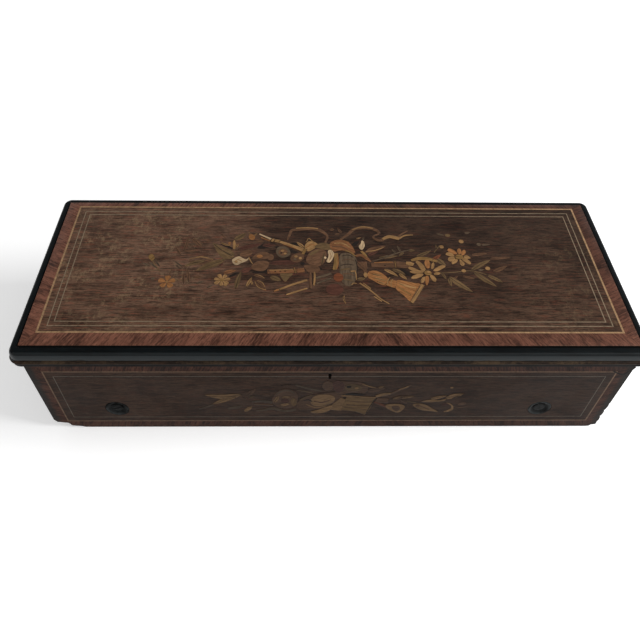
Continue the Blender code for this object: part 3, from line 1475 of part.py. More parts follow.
def control_lever(name, y):
    """A flat lever on an upright pivot with a knob on a post at its end."""
    x = CONTROL_PIVOT_X
    z = (CONTROL_Z, CONTROL_Z + CONTROL_THICKNESS)
    half = CONTROL_WIDTH / 2
    arm = box((x - CONTROL_TAIL, x + CONTROL_REACH), (y - half, y + half), z)
    lever = make(name, arm, brass())
    pivot = rod("Z", x, y, CONTROL_PIVOT_RADIUS, MOVEMENT_Z, z[1] + 2.0, 16)
    join(lever, pivot)
    knob_x = x + CONTROL_REACH - KNOB_RADIUS
    post = rod("Z", knob_x, y, KNOB_POST_RADIUS, z[0] + 1.0, z[1] + KNOB_POST, 12)
    foot = z[1] + KNOB_POST - 1.0
    knob = [
        (KNOB_CORE - GAP, foot),
        (KNOB_RADIUS * 0.6, foot),
        (KNOB_RADIUS, foot + KNOB_HEIGHT * 0.4),
        (KNOB_RADIUS, foot + KNOB_HEIGHT * 0.67),
        (KNOB_RADIUS * 0.6, foot + KNOB_HEIGHT),
        (KNOB_CORE - GAP, foot + KNOB_HEIGHT),
    ]
    core = circle(knob_x, y, KNOB_CORE, 12)
    join(lever, post, prism(core, "Z", foot + GAP, foot + KNOB_HEIGHT - GAP))
    join(lever, turned(knob, "Z", knob_x, y, 16))
    hang(axle(f"{name}_swing", x, y, CONTROL_Z), lever)


def make_controls():
    """The start lever and the tune change lever."""
    control_lever("start_lever", START_LEVER_Y)
    control_lever("change_lever", CHANGE_LEVER_Y)


def main():
    """Build the whole music box."""
    clear_scene()
    make_bottom_board()
    make_front_wall()
    make_front_veneer()
    make_back_wall()
    make_side_walls()
    make_partitions()
    make_lock()
    make_case_screws()
    make_lid(make_hinges())
    make_glass_lid()
    make_bedplate()
    make_bearings()
    make_comb_base()
    make_comb()
    make_barrel()
    make_arbor()
    make_winding_lever()
    make_catches()
    make_cylinder()
    make_first_wheel()
    make_second_wheel()
    make_fan()
    make_governor_frame()
    make_controls()


main()
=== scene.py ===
"""An inlaid music box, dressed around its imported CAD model."""

import json
import math
import random

import bmesh
import bpy
from bpy.props import FloatProperty, FloatVectorProperty, IntProperty, PointerProperty
from mathutils import Matrix, Vector, noise

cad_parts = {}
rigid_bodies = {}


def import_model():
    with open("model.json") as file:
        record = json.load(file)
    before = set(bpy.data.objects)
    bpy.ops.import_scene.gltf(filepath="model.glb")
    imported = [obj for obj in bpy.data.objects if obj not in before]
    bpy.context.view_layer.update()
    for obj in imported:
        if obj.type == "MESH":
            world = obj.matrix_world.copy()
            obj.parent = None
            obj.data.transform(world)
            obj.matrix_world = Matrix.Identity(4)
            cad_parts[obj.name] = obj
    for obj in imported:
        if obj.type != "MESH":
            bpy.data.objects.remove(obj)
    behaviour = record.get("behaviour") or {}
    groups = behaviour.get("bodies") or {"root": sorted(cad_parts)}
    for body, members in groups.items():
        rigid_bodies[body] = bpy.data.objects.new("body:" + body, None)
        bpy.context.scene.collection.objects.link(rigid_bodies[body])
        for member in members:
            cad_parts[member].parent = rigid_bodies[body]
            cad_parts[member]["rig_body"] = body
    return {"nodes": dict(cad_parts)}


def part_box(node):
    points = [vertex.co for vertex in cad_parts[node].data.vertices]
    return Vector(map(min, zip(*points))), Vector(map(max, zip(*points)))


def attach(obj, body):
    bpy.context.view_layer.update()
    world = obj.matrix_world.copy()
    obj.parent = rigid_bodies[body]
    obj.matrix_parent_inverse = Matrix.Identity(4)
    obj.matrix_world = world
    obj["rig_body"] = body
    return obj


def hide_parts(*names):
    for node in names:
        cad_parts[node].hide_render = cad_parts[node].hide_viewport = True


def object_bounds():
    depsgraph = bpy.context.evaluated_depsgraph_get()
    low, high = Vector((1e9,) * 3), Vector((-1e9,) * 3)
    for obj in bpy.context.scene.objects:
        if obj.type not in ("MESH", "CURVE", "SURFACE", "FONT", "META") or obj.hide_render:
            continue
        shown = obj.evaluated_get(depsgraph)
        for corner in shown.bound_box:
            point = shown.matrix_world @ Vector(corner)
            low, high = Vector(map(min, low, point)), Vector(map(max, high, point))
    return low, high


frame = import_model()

bl_info = {
    "name": "Inlaid Music Box",
    "version": (1, 0, 0),
    "blender": (4, 5, 0),
    "location": "3D View > Sidebar > Music Box",
    "description": "Builds the wood, inlay, metal and glass of a lever wound music box",
    "category": "Object",
}

CAD_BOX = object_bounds()
MM = 0.001
VENEER = 1.0 * MM
INLAY_THICKNESS = 0.4 * MM

# Places that the CAD model fixes, in metres

LID_LOW, LID_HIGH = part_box("lid_veneer")
FRONT_LOW, FRONT_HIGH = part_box("front_veneer")
BOARD_LOW, BOARD_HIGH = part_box("lid_panel")
LID_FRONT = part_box("lid_moulding_front")[0].y


def linear(code):
    """Turns a #rrggbb colour into the linear values that shaders use."""
    parts = [int(code[at : at + 2], 16) / 255 for at in (1, 3, 5)]
    return tuple(p / 12.92 if p <= 0.04045 else ((p + 0.055) / 1.055) ** 2.4 for p in parts)


def colour_choice(name, code, description):
    """A colour that the user can change."""
    return FloatVectorProperty(
        name=name, description=description, default=linear(code), size=3, min=0.0, max=1.0, subtype="COLOR"
    )


def shaded(colour, share):
    """A colour made darker or lighter."""
    return tuple(part * share for part in colour)


def length_choice(name, millimetres, description):
    """A length that the user can change, shown in the scene's units."""
    return FloatProperty(
        name=name, description=description, default=millimetres * MM, min=0.0, unit="LENGTH", precision=4
    )


class BoxSizes(bpy.types.PropertyGroup):
    """Sizes of the inlaid lines, the eased edges and the tune pins."""

    lid_line_front: length_choice("Lid line from front", 29.9, "Middle of the outer lid line behind the front edge")
    lid_line_side: length_choice("Lid line from side", 26.8, "Middle of the outer lid line inside the end edges")
    lid_line_back: length_choice("Lid line from back", 21.0, "Middle of the outer lid line before the back edge")
    lid_line_width: length_choice("Lid line width", 2.0, "Width of the outer light line in the lid")
    fine_line_width: length_choice("Fine line width", 1.0, "Width of the two inner lines in the lid")
    second_line_step: length_choice("Second line step", 8.5, "From the outer lid line to the second one")
    third_line_step: length_choice("Third line step", 14.5, "From the outer lid line to the third one")
    front_line_width: length_choice("Front line width", 1.5, "Width of the outer light line in the front")
    front_fine_width: length_choice("Front fine line width", 0.8, "Width of the inner line in the front")
    edge_ease: length_choice("Eased edge", 0.5, "How far the wooden edges are rounded over")
    pin_length: length_choice("Pin length", 0.8, "How far the tune pins stand out of the cylinder")
    pins_per_tooth: IntProperty(
        name="Pins per tooth", description="Pins that stand in the path of one comb tooth", default=44, min=1, max=120
    )


class BoxColours(bpy.types.PropertyGroup):
    """Colours of the woods, stains and metals."""

    rosewood_dark: colour_choice("Rosewood dark", "#26170f", "Dark figure of the lid's and front's field")
    rosewood_light: colour_choice("Rosewood light", "#61493a", "Light figure of the lid's and front's field")
    rosewood_red: colour_choice("Rosewood red", "#65392a", "Reddish streaks of the field")
    banding_dark: colour_choice("Banding dark", "#2a1812", "Dark figure of the crossbanding")
    banding_light: colour_choice("Banding light", "#7b5040", "Light figure of the crossbanding")
    # the ebony's bluish tint is a painted reflection of the slate-blue sheen on the moulding, over its black stain
    ebony: colour_choice("Ebonised", "#13191b", "Black stain of the lid's moulding")
    case_wood: colour_choice("Case wood", "#6a4428", "Stained wood of the inside")
    pine: colour_choice("Pine", "#a67c4e", "Bare wood under the box")
    brass: colour_choice("Brass", "#b08d4a", "Brass of the bridges and the wheels")
    cylinder: colour_choice("Cylinder", "#b9985a", "Brass of the pinned cylinder")
    steel: colour_choice("Steel", "#8e9092", "Bright steel")
    bedplate: colour_choice("Bedplate", "#6b5a35", "Bronzed paint of the cast bedplate")


# Shader trees

DEEP_PORE = (0.01, 0.006, 0.004)
DEEP_GRAIN = (0.012, 0.007, 0.005)
SCORCHED = (0.018, 0.011, 0.007)
# painted shade for the front's ends and the joint under the lid
PAINTED_SHADE = (0.011, 0.012, 0.011)
FOXING = (0.22, 0.12, 0.05)
BARE_VENEER = (0.12, 0.085, 0.06)
INLAY_GLOSS = 0.06
# painted shade: these heights bound the painted shadow in the joint under the lid
UNDER_LID = (0.1256, 0.1268)  # heights between which the front darkens into the joint

class Tree:
    """One shader tree being written: each call adds a node and hands back its output."""

    def __init__(self, tree):
        self.tree = tree

    def add(self, kind, inputs=None, **settings):
        """Adds a node, sets it up and feeds its sockets."""
        made = self.tree.nodes.new("ShaderNode" + kind)
        for name, value in settings.items():
            setattr(made, name, value)
        for key, value in (inputs or {}).items():
            self.feed(made.inputs[key], value)
        return made

    def feed(self, socket, value):
        """Links an output to a socket, or sets the socket's own value."""
        if isinstance(value, bpy.types.NodeSocket):
            self.tree.links.new(value, socket)
            return
        if socket.type == "RGBA" and len(value) == 3:
            value = (*value, 1.0)
        socket.default_value = value

    def grain(self, vector, stretch, detail=3.0, rough=0.55):
        """Noise over a stretched vector: the stretch is in cycles for each metre, on all axes or on each."""
        scale = stretch if isinstance(stretch, tuple) else (stretch, stretch, stretch)
        squeezed = self.add("Mapping", {"Vector": vector, "Scale": scale}).outputs[0]
        inputs = {"Vector": squeezed, "Scale": 1.0, "Detail": detail, "Roughness": rough}
        return self.add("TexNoise", inputs).outputs["Fac"]

    def step(self, value, low, high, to_low=0.0, to_high=1.0):
        """A smooth step from one level to another."""
        inputs = {0: value, 1: low, 2: high, 3: to_low, 4: to_high}
        return self.add("MapRange", inputs, interpolation_type="SMOOTHSTEP").outputs[0]

    def mix(self, share, first, second):
        """One colour laid over another."""
        return self.add("Mix", {0: share, 6: first, 7: second}, data_type="RGBA").outputs[2]

    def math(self, operation, first, second=0.0):
        """One sum."""
        return self.add("Math", {0: first, 1: second}, operation=operation).outputs[0]

    def times(self, first, second):
        """A product."""
        return self.math("MULTIPLY", first, second)

    def plus(self, first, second):
        """A total."""
        return self.math("ADD", first, second)

    def place(self):
        """Places on the object, in metres."""
        return self.add("TexCoord").outputs["Object"]

    def painted(self, name):
        """A value that the mesh carries at its vertices."""
        return self.add("Attribute", attribute_name=name).outputs["Fac"]

    def bump(self, height, strength, distance):
        """Turns a height into a normal."""
        inputs = {"Height": height, "Strength": strength, "Distance": distance}
        return self.add("Bump", inputs).outputs[0]


def shared_group(name, takes, gives):
    """Starts a node group with the sockets listed under each kind, and returns it, its tree and its two ends."""
    group = bpy.data.node_groups.new(name, "ShaderNodeTree")
    for way, sockets in (("INPUT", takes), ("OUTPUT", gives)):
        for kind, labels in sockets.items():
            for label in labels.split():
                group.interface.new_socket(label, in_out=way, socket_type="NodeSocket" + kind)
    entry = group.nodes.new("NodeGroupInput")
    leave = group.nodes.new("NodeGroupOutput")
    return group, Tree(group), entry.outputs, leave.inputs


def wood_figure_group():
    """Figure, fine streaks and open pores of wood whose grain runs along the vector's first axis."""
    takes = {"Vector": "Vector", "Color": "Dark Light Streak", "Float": "Waviness Streaks Pores"}
    group, tree, given, out = shared_group("Wood figure", takes, {"Color": "Colour", "Float": "Height"})
    vector = given["Vector"]
    sway = tree.grain(vector, (5.0, 14.0, 14.0), detail=2.0)
    shift = tree.times(tree.math("SUBTRACT", sway, 0.5), given["Waviness"])
    lifted = tree.add("CombineXYZ", {"Y": shift}).outputs[0]
    swayed = tree.add("VectorMath", {0: vector, 1: lifted}, operation="ADD").outputs[0]
    broad = tree.grain(swayed, (16.0, 60.0, 60.0), detail=6.0, rough=0.8)
    bands = tree.grain(swayed, (48.0, 520.0, 520.0), detail=4.0, rough=0.7)
    fine = tree.grain(swayed, (95.0, 1000.0, 1000.0), detail=2.0, rough=0.6)
    pores = tree.grain(vector, (220.0, 1900.0, 1900.0), detail=1.0)
    base = tree.mix(tree.step(broad, 0.3, 0.62), given["Dark"], given["Light"])
    base = tree.mix(tree.times(tree.step(bands, 0.52, 0.64), 0.7), base, given["Streak"])
    lines = tree.times(tree.step(bands, 0.49, 0.38), given["Streaks"])
    base = tree.mix(lines, base, given["Dark"])
    shade = tree.times(tree.step(fine, 0.52, 0.36), tree.times(given["Streaks"], 0.6))
    base = tree.mix(shade, base, DEEP_GRAIN)
    open_pores = tree.times(tree.step(pores, 0.6, 0.7), given["Pores"])
    base = tree.mix(open_pores, base, DEEP_PORE)
    tree.feed(out["Colour"], base)
    tree.feed(out["Height"], tree.math("SUBTRACT", tree.times(fine, 0.4), open_pores))
    return group


def handling_group():
    """Smudges in the polish and fine scratches, as two masks."""
    group, tree, given, out = shared_group("Handling", {"Vector": "Vector"}, {"Float": "Smudge Scratch"})
    vector = given["Vector"]
    smudge = tree.grain(vector, 18.0, detail=4.0, rough=0.6)
    slanted = tree.add("Mapping", {"Vector": vector, "Rotation": (0.0, 0.0, 0.6)}).outputs[0]
    first = tree.grain(slanted, (12.0, 900.0, 400.0), detail=1.0)
    slanted = tree.add("Mapping", {"Vector": vector, "Rotation": (0.3, 0.0, -1.1)}).outputs[0]
    second = tree.grain(slanted, (10.0, 800.0, 500.0), detail=1.0)
    scratch = tree.math("MAXIMUM", tree.step(first, 0.74, 0.8), tree.step(second, 0.75, 0.81))
    tree.feed(out["Smudge"], tree.step(smudge, 0.35, 0.7))
    tree.feed(out["Scratch"], scratch)
    return group


def tarnish_group():
    """Old metal: a tarnish that gathers in patches, with turned or drawn marks."""
    takes = {"Vector": "Vector", "Color": "Metal Tarnish", "Float": "Amount"}
    group, tree, given, out = shared_group("Tarnish", takes, {"Color": "Colour", "Float": "Roughness Height"})
    vector = given["Vector"]
    patches = tree.grain(vector, 55.0, detail=5.0, rough=0.65)
    specks = tree.grain(vector, 700.0, detail=2.0)
    marks = tree.grain(vector, (60.0, 1800.0, 1800.0), detail=2.0)
    mask = tree.times(tree.step(patches, 0.38, 0.68), given["Amount"])
    spots = tree.times(tree.step(specks, 0.66, 0.74), given["Amount"])
    mask = tree.math("MAXIMUM", mask, tree.times(spots, 0.8))
    tree.feed(out["Colour"], tree.mix(mask, given["Metal"], given["Tarnish"]))
    tree.feed(out["Roughness"], tree.times(mask, 0.3))
    tree.feed(out["Height"], tree.times(marks, 0.5))
    return group


def worn_edge_group():
    """Where the finish is rubbed off: a broken mask along the edges that the mesh marks as worn."""
    takes = {"Vector": "Vector", "Float": "Edge Spread"}
    group, tree, given, out = shared_group("Worn edge", takes, {"Float": "Mask"})
    spread = given["Spread"]
    broken = tree.grain(given["Vector"], 260.0, detail=4.0, rough=0.65)
    patch = tree.grain(given["Vector"], 22.0, detail=2.0)
    reach = tree.plus(given["Edge"], tree.times(tree.plus(broken, patch), spread))
    tree.feed(out["Mask"], tree.step(reach, tree.plus(spread, 0.98), tree.plus(spread, 1.06)))
    return group


def painted_light_group():
    """Paints light and shade over the whole box: tones a colour from its strengths at the left, the right, the near
    and the far edge.
    """
    takes = {"Vector": "Vector", "Color": "Colour", "Float": "Left Right Near Far"}
    group, tree, given, out = shared_group("Painted light", takes, {"Color": "Colour"})
    cloud = tree.grain(given["Vector"], (5.0, 9.0, 5.0), detail=3.0)
    drift = tree.times(tree.math("SUBTRACT", cloud, 0.5), 0.3)
    axes = tree.add("SeparateXYZ", {0: given["Vector"]}).outputs
    across = tree.step(tree.plus(axes["X"], drift), -0.3, 0.16)
    deep = tree.step(tree.plus(axes["Y"], drift), -0.1, 0.03)
    plain = tree.step(across, 0.0, 1.0, given["Left"], given["Right"])
    loss = tree.math("SUBTRACT", 1.0, given["Far"])
    dimmer = tree.times(tree.times(deep, tree.step(across, 0.2, 0.6)), loss)
    nearer = tree.step(deep, 0.0, 0.6, given["Near"], 1.0)
    strength = tree.times(tree.times(plain, nearer), tree.math("SUBTRACT", 1.0, dimmer))
    toned = tree.add("VectorMath", {0: given["Colour"], 3: strength}, operation="SCALE").outputs[0]
    tree.feed(out["Colour"], toned)
    return group


def inlay_group():
    """A small piece of veneer: its fibres and clouds, its own tone, and its scorched rim."""
    takes = {"Vector": "Vector", "Color": "Wood Dark", "Float": "Figure Tone Scorch"}
    group, tree, given, out = shared_group("Inlay wood", takes, {"Color": "Colour", "Float": "Height"})
    dark = given["Dark"]
    fibre = tree.grain(given["Vector"], (60.0, 560.0, 560.0), detail=4.0, rough=0.7)
    cloud = tree.grain(given["Vector"], (75.0, 190.0, 190.0), detail=3.0, rough=0.6)
    body = tree.mix(tree.times(tree.step(fibre, 0.6, 0.36), given["Figure"]), given["Wood"], dark)
    body = tree.mix(tree.times(tree.step(cloud, 0.44, 0.68), 0.55), body, dark)
    body = tree.mix(tree.step(given["Tone"], 0.0, 1.0, 0.0, 0.3), body, dark)
    reach = tree.times(given["Scorch"], tree.step(cloud, 0.2, 0.7, 0.75, 1.3))
    burnt = tree.times(tree.step(reach, 0.15, 1.0), 0.85)
    tree.feed(out["Colour"], tree.mix(burnt, body, SCORCHED))
    tree.feed(out["Height"], fibre)
    return group


class Finishes:
    """All the finishes of the box, each made once and found by its name."""

    def __init__(self):
        self.made = {}
        self.figure = wood_figure_group()
        self.handling = handling_group()
        self.tarnish = tarnish_group()
        self.worn_edge = worn_edge_group()
        self.painted_light = painted_light_group()
        self.inlay = inlay_group()

    def start(self, name):
        """An empty material with its tree and its shader."""
        material = bpy.data.materials.new(name)
        material.use_nodes = True
        self.made[name] = material
        tree = Tree(material.node_tree)
        return tree, material.node_tree.nodes["Principled BSDF"].inputs

    def vector(self, tree, grain):
        """The piece's own UV map where the grain follows the surface, or object places turned to the grain."""
        coordinates = tree.add("TexCoord").outputs
        if grain == "uv":
            return coordinates["UV"]
        turns = {"x": (0.0, 0.0, 0.0), "y": (0.0, 0.0, -math.pi / 2), "z": (0.0, math.pi / 2, 0.0)}
        return tree.add("Mapping", {"Vector": coordinates["Object"], "Rotation": turns[grain]}).outputs[0]


def feed_shader(tree, shader, colour, roughness, relief, plain=None):
    """Feeds a shader its colour, roughness and relief (height, strength, depth), and its values that stay plain."""
    tree.feed(shader["Base Color"], colour)
    tree.feed(shader["Roughness"], roughness)
    tree.feed(shader["Normal"], tree.bump(*relief))
    for name, value in (plain or {}).items():
        tree.feed(shader[name], value)


def handled_roughness(shelf, tree, vector, base, spread):
    """Roughness that smudges and scratches change, and the scratch mask."""
    marks = tree.add("Group", {"Vector": vector}, node_tree=shelf.handling).outputs
    rough = tree.plus(tree.times(marks["Smudge"], spread), base)
    return tree.plus(rough, tree.times(marks["Scratch"], 0.18)), marks["Scratch"]


def add_wood(shelf, name, dark, light, streak, grain="uv", waviness=0.03, streaks=0.8, pores=0.8, rough=0.36,
             gloss=0.05, worn=None, worn_colour=BARE_VENEER, painted_fall=None, mottle=None, painted_shade_ends=None):
    """One wood: figure and pores in its colour, handling in its sheen, and bare wood where an edge is worn."""
    tree, shader = shelf.start(name)
    vector = shelf.vector(tree, grain)
    inputs = {"Vector": vector, "Dark": dark, "Light": light, "Streak": streak}
    inputs.update({"Waviness": waviness, "Streaks": streaks, "Pores": pores})
    figure = tree.add("Group", inputs, node_tree=shelf.figure).outputs
    roughness, scratch = handled_roughness(shelf, tree, vector, rough, 0.14)
    colour = tree.mix(tree.times(scratch, 0.25), figure["Colour"], light)
    if mottle:
        colour = tree.mix(mottled(tree), colour, mottle)
    # painted light and shade: the colour is made lighter or darker towards the ends, the front and the back of the
    # box, standing in for how the light falls
    if painted_fall:
        strengths = dict(zip(("Left", "Right", "Near", "Far"), painted_fall))
        inputs = {"Vector": tree.place(), "Colour": colour, **strengths}
        colour = tree.add("Group", inputs, node_tree=shelf.painted_light).outputs["Colour"]
    # painted shade towards the front's ends and in the joint under the lid
    if painted_shade_ends:
        colour = tree.mix(near_ends(tree, *painted_shade_ends), colour, PAINTED_SHADE)
    if worn:
        inputs = {"Vector": tree.place(), "Edge": tree.painted("worn"), "Spread": worn}
        mask = tree.add("Group", inputs, node_tree=shelf.worn_edge).outputs["Mask"]
        colour = tree.mix(mask, colour, worn_colour)
        roughness = tree.plus(roughness, tree.times(mask, 0.3))
    feed_shader(tree, shader, colour, roughness, (figure["Height"], 0.35, 0.00012), {"Specular IOR Level": gloss})


def mottled(tree):
    """Where the polish has gone dull: a broken mask towards the ends of the lid."""
    place = tree.place()
    away = tree.math("ABSOLUTE", tree.plus(tree.add("SeparateXYZ", {0: place}).outputs["X"], -0.05))
    cloud = tree.grain(place, (26.0, 34.0, 26.0), detail=3.0, rough=0.6)
    strokes = tree.grain(place, (250.0, 170.0, 250.0), detail=4.0, rough=0.75)
    broken = tree.times(tree.step(cloud, 0.4, 0.62), tree.step(strokes, 0.46, 0.66))
    return tree.times(tree.times(broken, tree.step(away, 0.12, 0.24)), 0.42)


def near_ends(tree, start, full):
    """A broken mask of painted shade that rises towards both ends of the box, and in the joint under the lid."""
    place = tree.place()
    rough = tree.grain(place, (140.0, 140.0, 90.0), detail=4.0, rough=0.7)
    axes = tree.add("SeparateXYZ", {0: place}).outputs
    away = tree.math("ABSOLUTE", axes["X"])
    reach = tree.plus(away, tree.times(tree.math("SUBTRACT", rough, 0.5), 0.006))
    ends = tree.times(tree.step(reach, start, full), 0.8)
    return tree.math("MAXIMUM", ends, tree.step(axes["Z"], *UNDER_LID))


def add_inlay_wood(shelf, name, colour, figure=0.75):
    """A small piece of veneer: grain along the piece, its own tone, and scorched edges."""
    tree, shader = shelf.start(name)
    vector = tree.add("TexCoord").outputs["UV"]
    inputs = {"Vector": vector, "Wood": colour, "Dark": shaded(colour, 0.36), "Figure": figure}
    inputs.update({"Tone": tree.painted("tone"), "Scorch": tree.painted("scorch")})
    veneer = tree.add("Group", inputs, node_tree=shelf.inlay).outputs
    roughness = handled_roughness(shelf, tree, vector, 0.4, 0.12)[0]
    relief = (veneer["Height"], 0.2, 0.0001)
    feed_shader(tree, shader, veneer["Colour"], roughness, relief, {"Specular IOR Level": INLAY_GLOSS})


def add_metal(shelf, name, colour, tarnish, amount, rough, grain="x", painted=False):
    """One metal, more or less tarnished."""
    tree, shader = shelf.start(name)
    inputs = {"Vector": shelf.vector(tree, grain), "Metal": colour, "Tarnish": linear(tarnish), "Amount": amount}
    metal = tree.add("Group", inputs, node_tree=shelf.tarnish).outputs
    roughness = tree.plus(metal["Roughness"], rough)
    relief = (metal["Height"], 0.4 if painted else 0.12, 0.0001)
    feed_shader(tree, shader, metal["Colour"], roughness, relief, {"Metallic": 0.0 if painted else 1.0})


def add_glass(shelf):
    """Old window glass with waves and a few dull smudges."""
    tree, shader = shelf.start("glass")
    place = tree.place()
    waves = tree.grain(place, (22.0, 14.0, 14.0), detail=1.0)
    dust = tree.grain(place, 38.0, detail=3.0)
    dull = tree.step(dust, 0.5, 0.75, 0.012, 0.05)
    plain = {"Transmission Weight": 1.0, "IOR": 1.46}
    feed_shader(tree, shader, (0.93, 0.96, 0.94), dull, (waves, 0.15, 0.0006), plain)


def add_card(shelf, name, colour, spots):
    """Old printed card with foxing."""
    tree, shader = shelf.start(name)
    place = tree.place()
    cloud = tree.grain(place, 26.0, detail=4.0)
    fleck = tree.grain(place, 320.0, detail=2.0)
    fibre = tree.grain(place, (1500.0, 2200.0, 1500.0), detail=2.0)
    aged = tree.mix(tree.times(tree.step(cloud, 0.4, 0.75), 0.6), colour, spots)
    aged = tree.mix(tree.times(tree.step(fleck, 0.66, 0.72), 0.7), aged, FOXING)
    feed_shader(tree, shader, aged, tree.step(cloud, 0.2, 0.8, 0.65, 0.85), (fibre, 0.2, 0.0001))


LINE_WOODS = (
    ("line tan", "#9a7b5b", 0.5), ("line olive", "#7f6f5b", 0.3),
    ("line dull", "#6a5443", 0.35), ("line grey", "#5c554c", 0.3),
)
INLAY_WOODS = {
    "ivory": "#bfa27e",
    "tan": "#957149",
    "ochre": "#82623a",
    "orange": "#94643c",
    "russet": "#7b5235",
    "red": "#714029",
    "maroon": "#56352a",
    "walnut": "#654834",
    "olive": "#6a5338",
    "grey": "#5f4e3d",
    "black": "#241b16",
}


def add_veneers(shelf, hues):
    """The woods of the lid's and the front's face."""
    field = (hues.rosewood_dark, hues.rosewood_light, hues.rosewood_red)
    # each fall of strengths (left, right, near, far) below is painted light and shade across the lid or the front
    add_wood(shelf, "lid rosewood", *field, waviness=0.012, streaks=0.85, painted_fall=(1.26, 0.84, 0.9, 0.47),
             mottle=linear("#7f6a50"))
    # painted shade: the front's field is a darker copy of the lid's field, since the front stands in shade
    front = [shaded(tone, share) for tone, share in zip(field, (0.55, 0.4, 0.3))]
    add_wood(shelf, "front rosewood", *front, waviness=0.012, streaks=0.9, painted_fall=(1.05, 0.8, 1.0, 1.0))
    banding = (hues.banding_dark, hues.banding_light, linear("#7d5544"))
    add_wood(shelf, "lid banding", *banding, waviness=0.01, streaks=0.6, worn=0.05, worn_colour=linear("#8a705a"),
             painted_fall=(1.0, 0.74, 1.0, 0.55))
    # painted shade: the front's banding is a darker copy of the lid's banding, since the front stands in shade
    dull = [shaded(tone, 0.36) for tone in banding]
    # painted shade also darkens this banding at the box's ends and under the lid
    add_wood(shelf, "front banding", *dull, waviness=0.01, worn=0.06, worn_colour=linear("#6f6255"),
             painted_fall=(1.05, 0.82, 1.0, 1.0), painted_shade_ends=(0.3095, 0.3165))
    for name, code, figure in LINE_WOODS:
        add_inlay_wood(shelf, name, linear(code), figure)
    for name, code in INLAY_WOODS.items():
        colour = linear(code)
        mean = sum(colour) / 3
        add_inlay_wood(shelf, name, colour)
        # painted shade: the dim woods, for the front's marquetry, are darker and slightly greyer copies of the same
        # woods, since the front stands in shade
        add_inlay_wood(shelf, "dim " + name, tuple(0.5 * (0.88 * part + 0.12 * mean) for part in colour))


def add_moulding_woods(shelf, hues):
    """The stained woods of the lid's moulding, from its crown, painted darker as painted shade, to its worn bead."""
    black = hues.ebony
    crown = shaded(black, 0.15)
    plain = {"streaks": 0.25, "pores": 0.4}
    add_wood(shelf, "ebonised moulding", black, shaded(black, 1.35), black, rough=0.3, gloss=0.22, worn=0.2,
             worn_colour=linear("#4d453d"), **plain)
    # painted shade: the crown and the shoulder are darker copies of the ebonised wood, so the moulding darkens
    # towards its top
    add_wood(shelf, "moulding crown shade", crown, shaded(black, 0.55), crown, rough=0.5, gloss=0.025, **plain)
    add_wood(shelf, "moulding shoulder shade", crown, shaded(black, 0.8), crown, rough=0.4, gloss=0.11, **plain)
    add_wood(shelf, "moulding bead", linear("#0f0c0a"), linear("#2c221b"), linear("#35251b"), rough=0.45, worn=0.18,
             worn_colour=linear("#433629"))
    # painted shade: near-black for the moulding's quirks, the lid board's edges and the walls of the front's holes
    add_wood(shelf, "shadow black", (0.004, 0.004, 0.004), (0.009, 0.009, 0.009), (0.006, 0.006, 0.006), rough=0.6)


def add_case_woods(shelf, hues):
    """The woods of the case: stained boards, pine and bare wood where a corner is broken."""
    inside, pine = hues.case_wood, hues.pine
    for grain in "xyz":
        add_wood(shelf, "case wood " + grain, shaded(inside, 0.55), inside, shaded(inside, 0.8), grain=grain)
    for grain in "xy":
        add_wood(shelf, "stained end " + grain, linear("#1d1512"), linear("#3b2a20"), linear("#40291d"), grain=grain,
                 rough=0.42)
    add_wood(shelf, "pine", shaded(pine, 0.62), pine, linear("#7c5530"), grain="x", rough=0.6, pores=0.3)
    add_wood(shelf, "bare wood", linear("#33261c"), linear("#5a4735"), linear("#4a3627"), grain="x", rough=0.7)


def add_metals(shelf, hues):
    """The metals: each with its tarnish, how much of it, and its roughness."""
    add_metal(shelf, "brass", hues.brass, "#4a3518", 0.45, 0.6)
    add_metal(shelf, "cylinder brass", hues.cylinder, "#4a3518", 0.35, 0.56)
    add_metal(shelf, "steel", hues.steel, "#4c4238", 0.4, 0.57)
    add_metal(shelf, "comb steel", linear("#9a9b9c"), "#5f5a54", 0.3, 0.52, grain="y")
    add_metal(shelf, "blued steel", linear("#2a3342"), "#3a2c22", 0.4, 0.6)
    add_metal(shelf, "dark metal", linear("#242525"), "#10100f", 0.8, 0.66)
    # painted highlight: the washers' rim is lighter than their dark cup
    add_metal(shelf, "washer rim highlight", linear("#303232"), "#161615", 0.9, 0.66)
    add_metal(shelf, "bedplate paint", hues.bedplate, "#3a3020", 0.6, 0.72, painted=True)


def make_finishes():
    """Every finish of the box."""
    shelf = Finishes()
    hues = bpy.context.scene.music_box_colours
    add_veneers(shelf, hues)
    add_moulding_woods(shelf, hues)
    add_case_woods(shelf, hues)
    add_metals(shelf, hues)
    add_glass(shelf)
    add_card(shelf, "card paper", linear("#cdbd98"), linear("#a58a5c"))
    add_card(shelf, "card print", linear("#6d3f2a"), linear("#80563a"))
    return shelf.made


FINISH = {}


# Mesh making

SAME_PLACE = 2e-6
SMOOTH_BELOW = math.radians(35)
EASED_ABOVE = math.radians(38)
QUARTER = math.pi / 2


def smooth_faces(mesh):
    """Shades a mesh smooth but for its corners."""
    mesh.shade_smooth()
    mesh.set_sharp_from_angle(angle=SMOOTH_BELOW)


def add_object(name, data):
    """Puts data in the scene as an object."""
    made = bpy.data.objects.new(name, data)
    bpy.context.scene.collection.objects.link(made)
    return made


def hand_over(name, bm, finishes=(), body=None, stands_for=()):
    """Turns a bmesh into a piece of the box and says where it belongs; a cutter belongs nowhere."""
    mesh = bpy.data.meshes.new(name)
    bm.to_mesh(mesh)
    bm.free()
    smooth_faces(mesh)
    for finish in finishes:
        mesh.materials.append(FINISH[finish])
    piece = add_object(name, mesh)
    if body:
        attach(piece, body)
    if stands_for:
        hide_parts(*stands_for)
    return piece


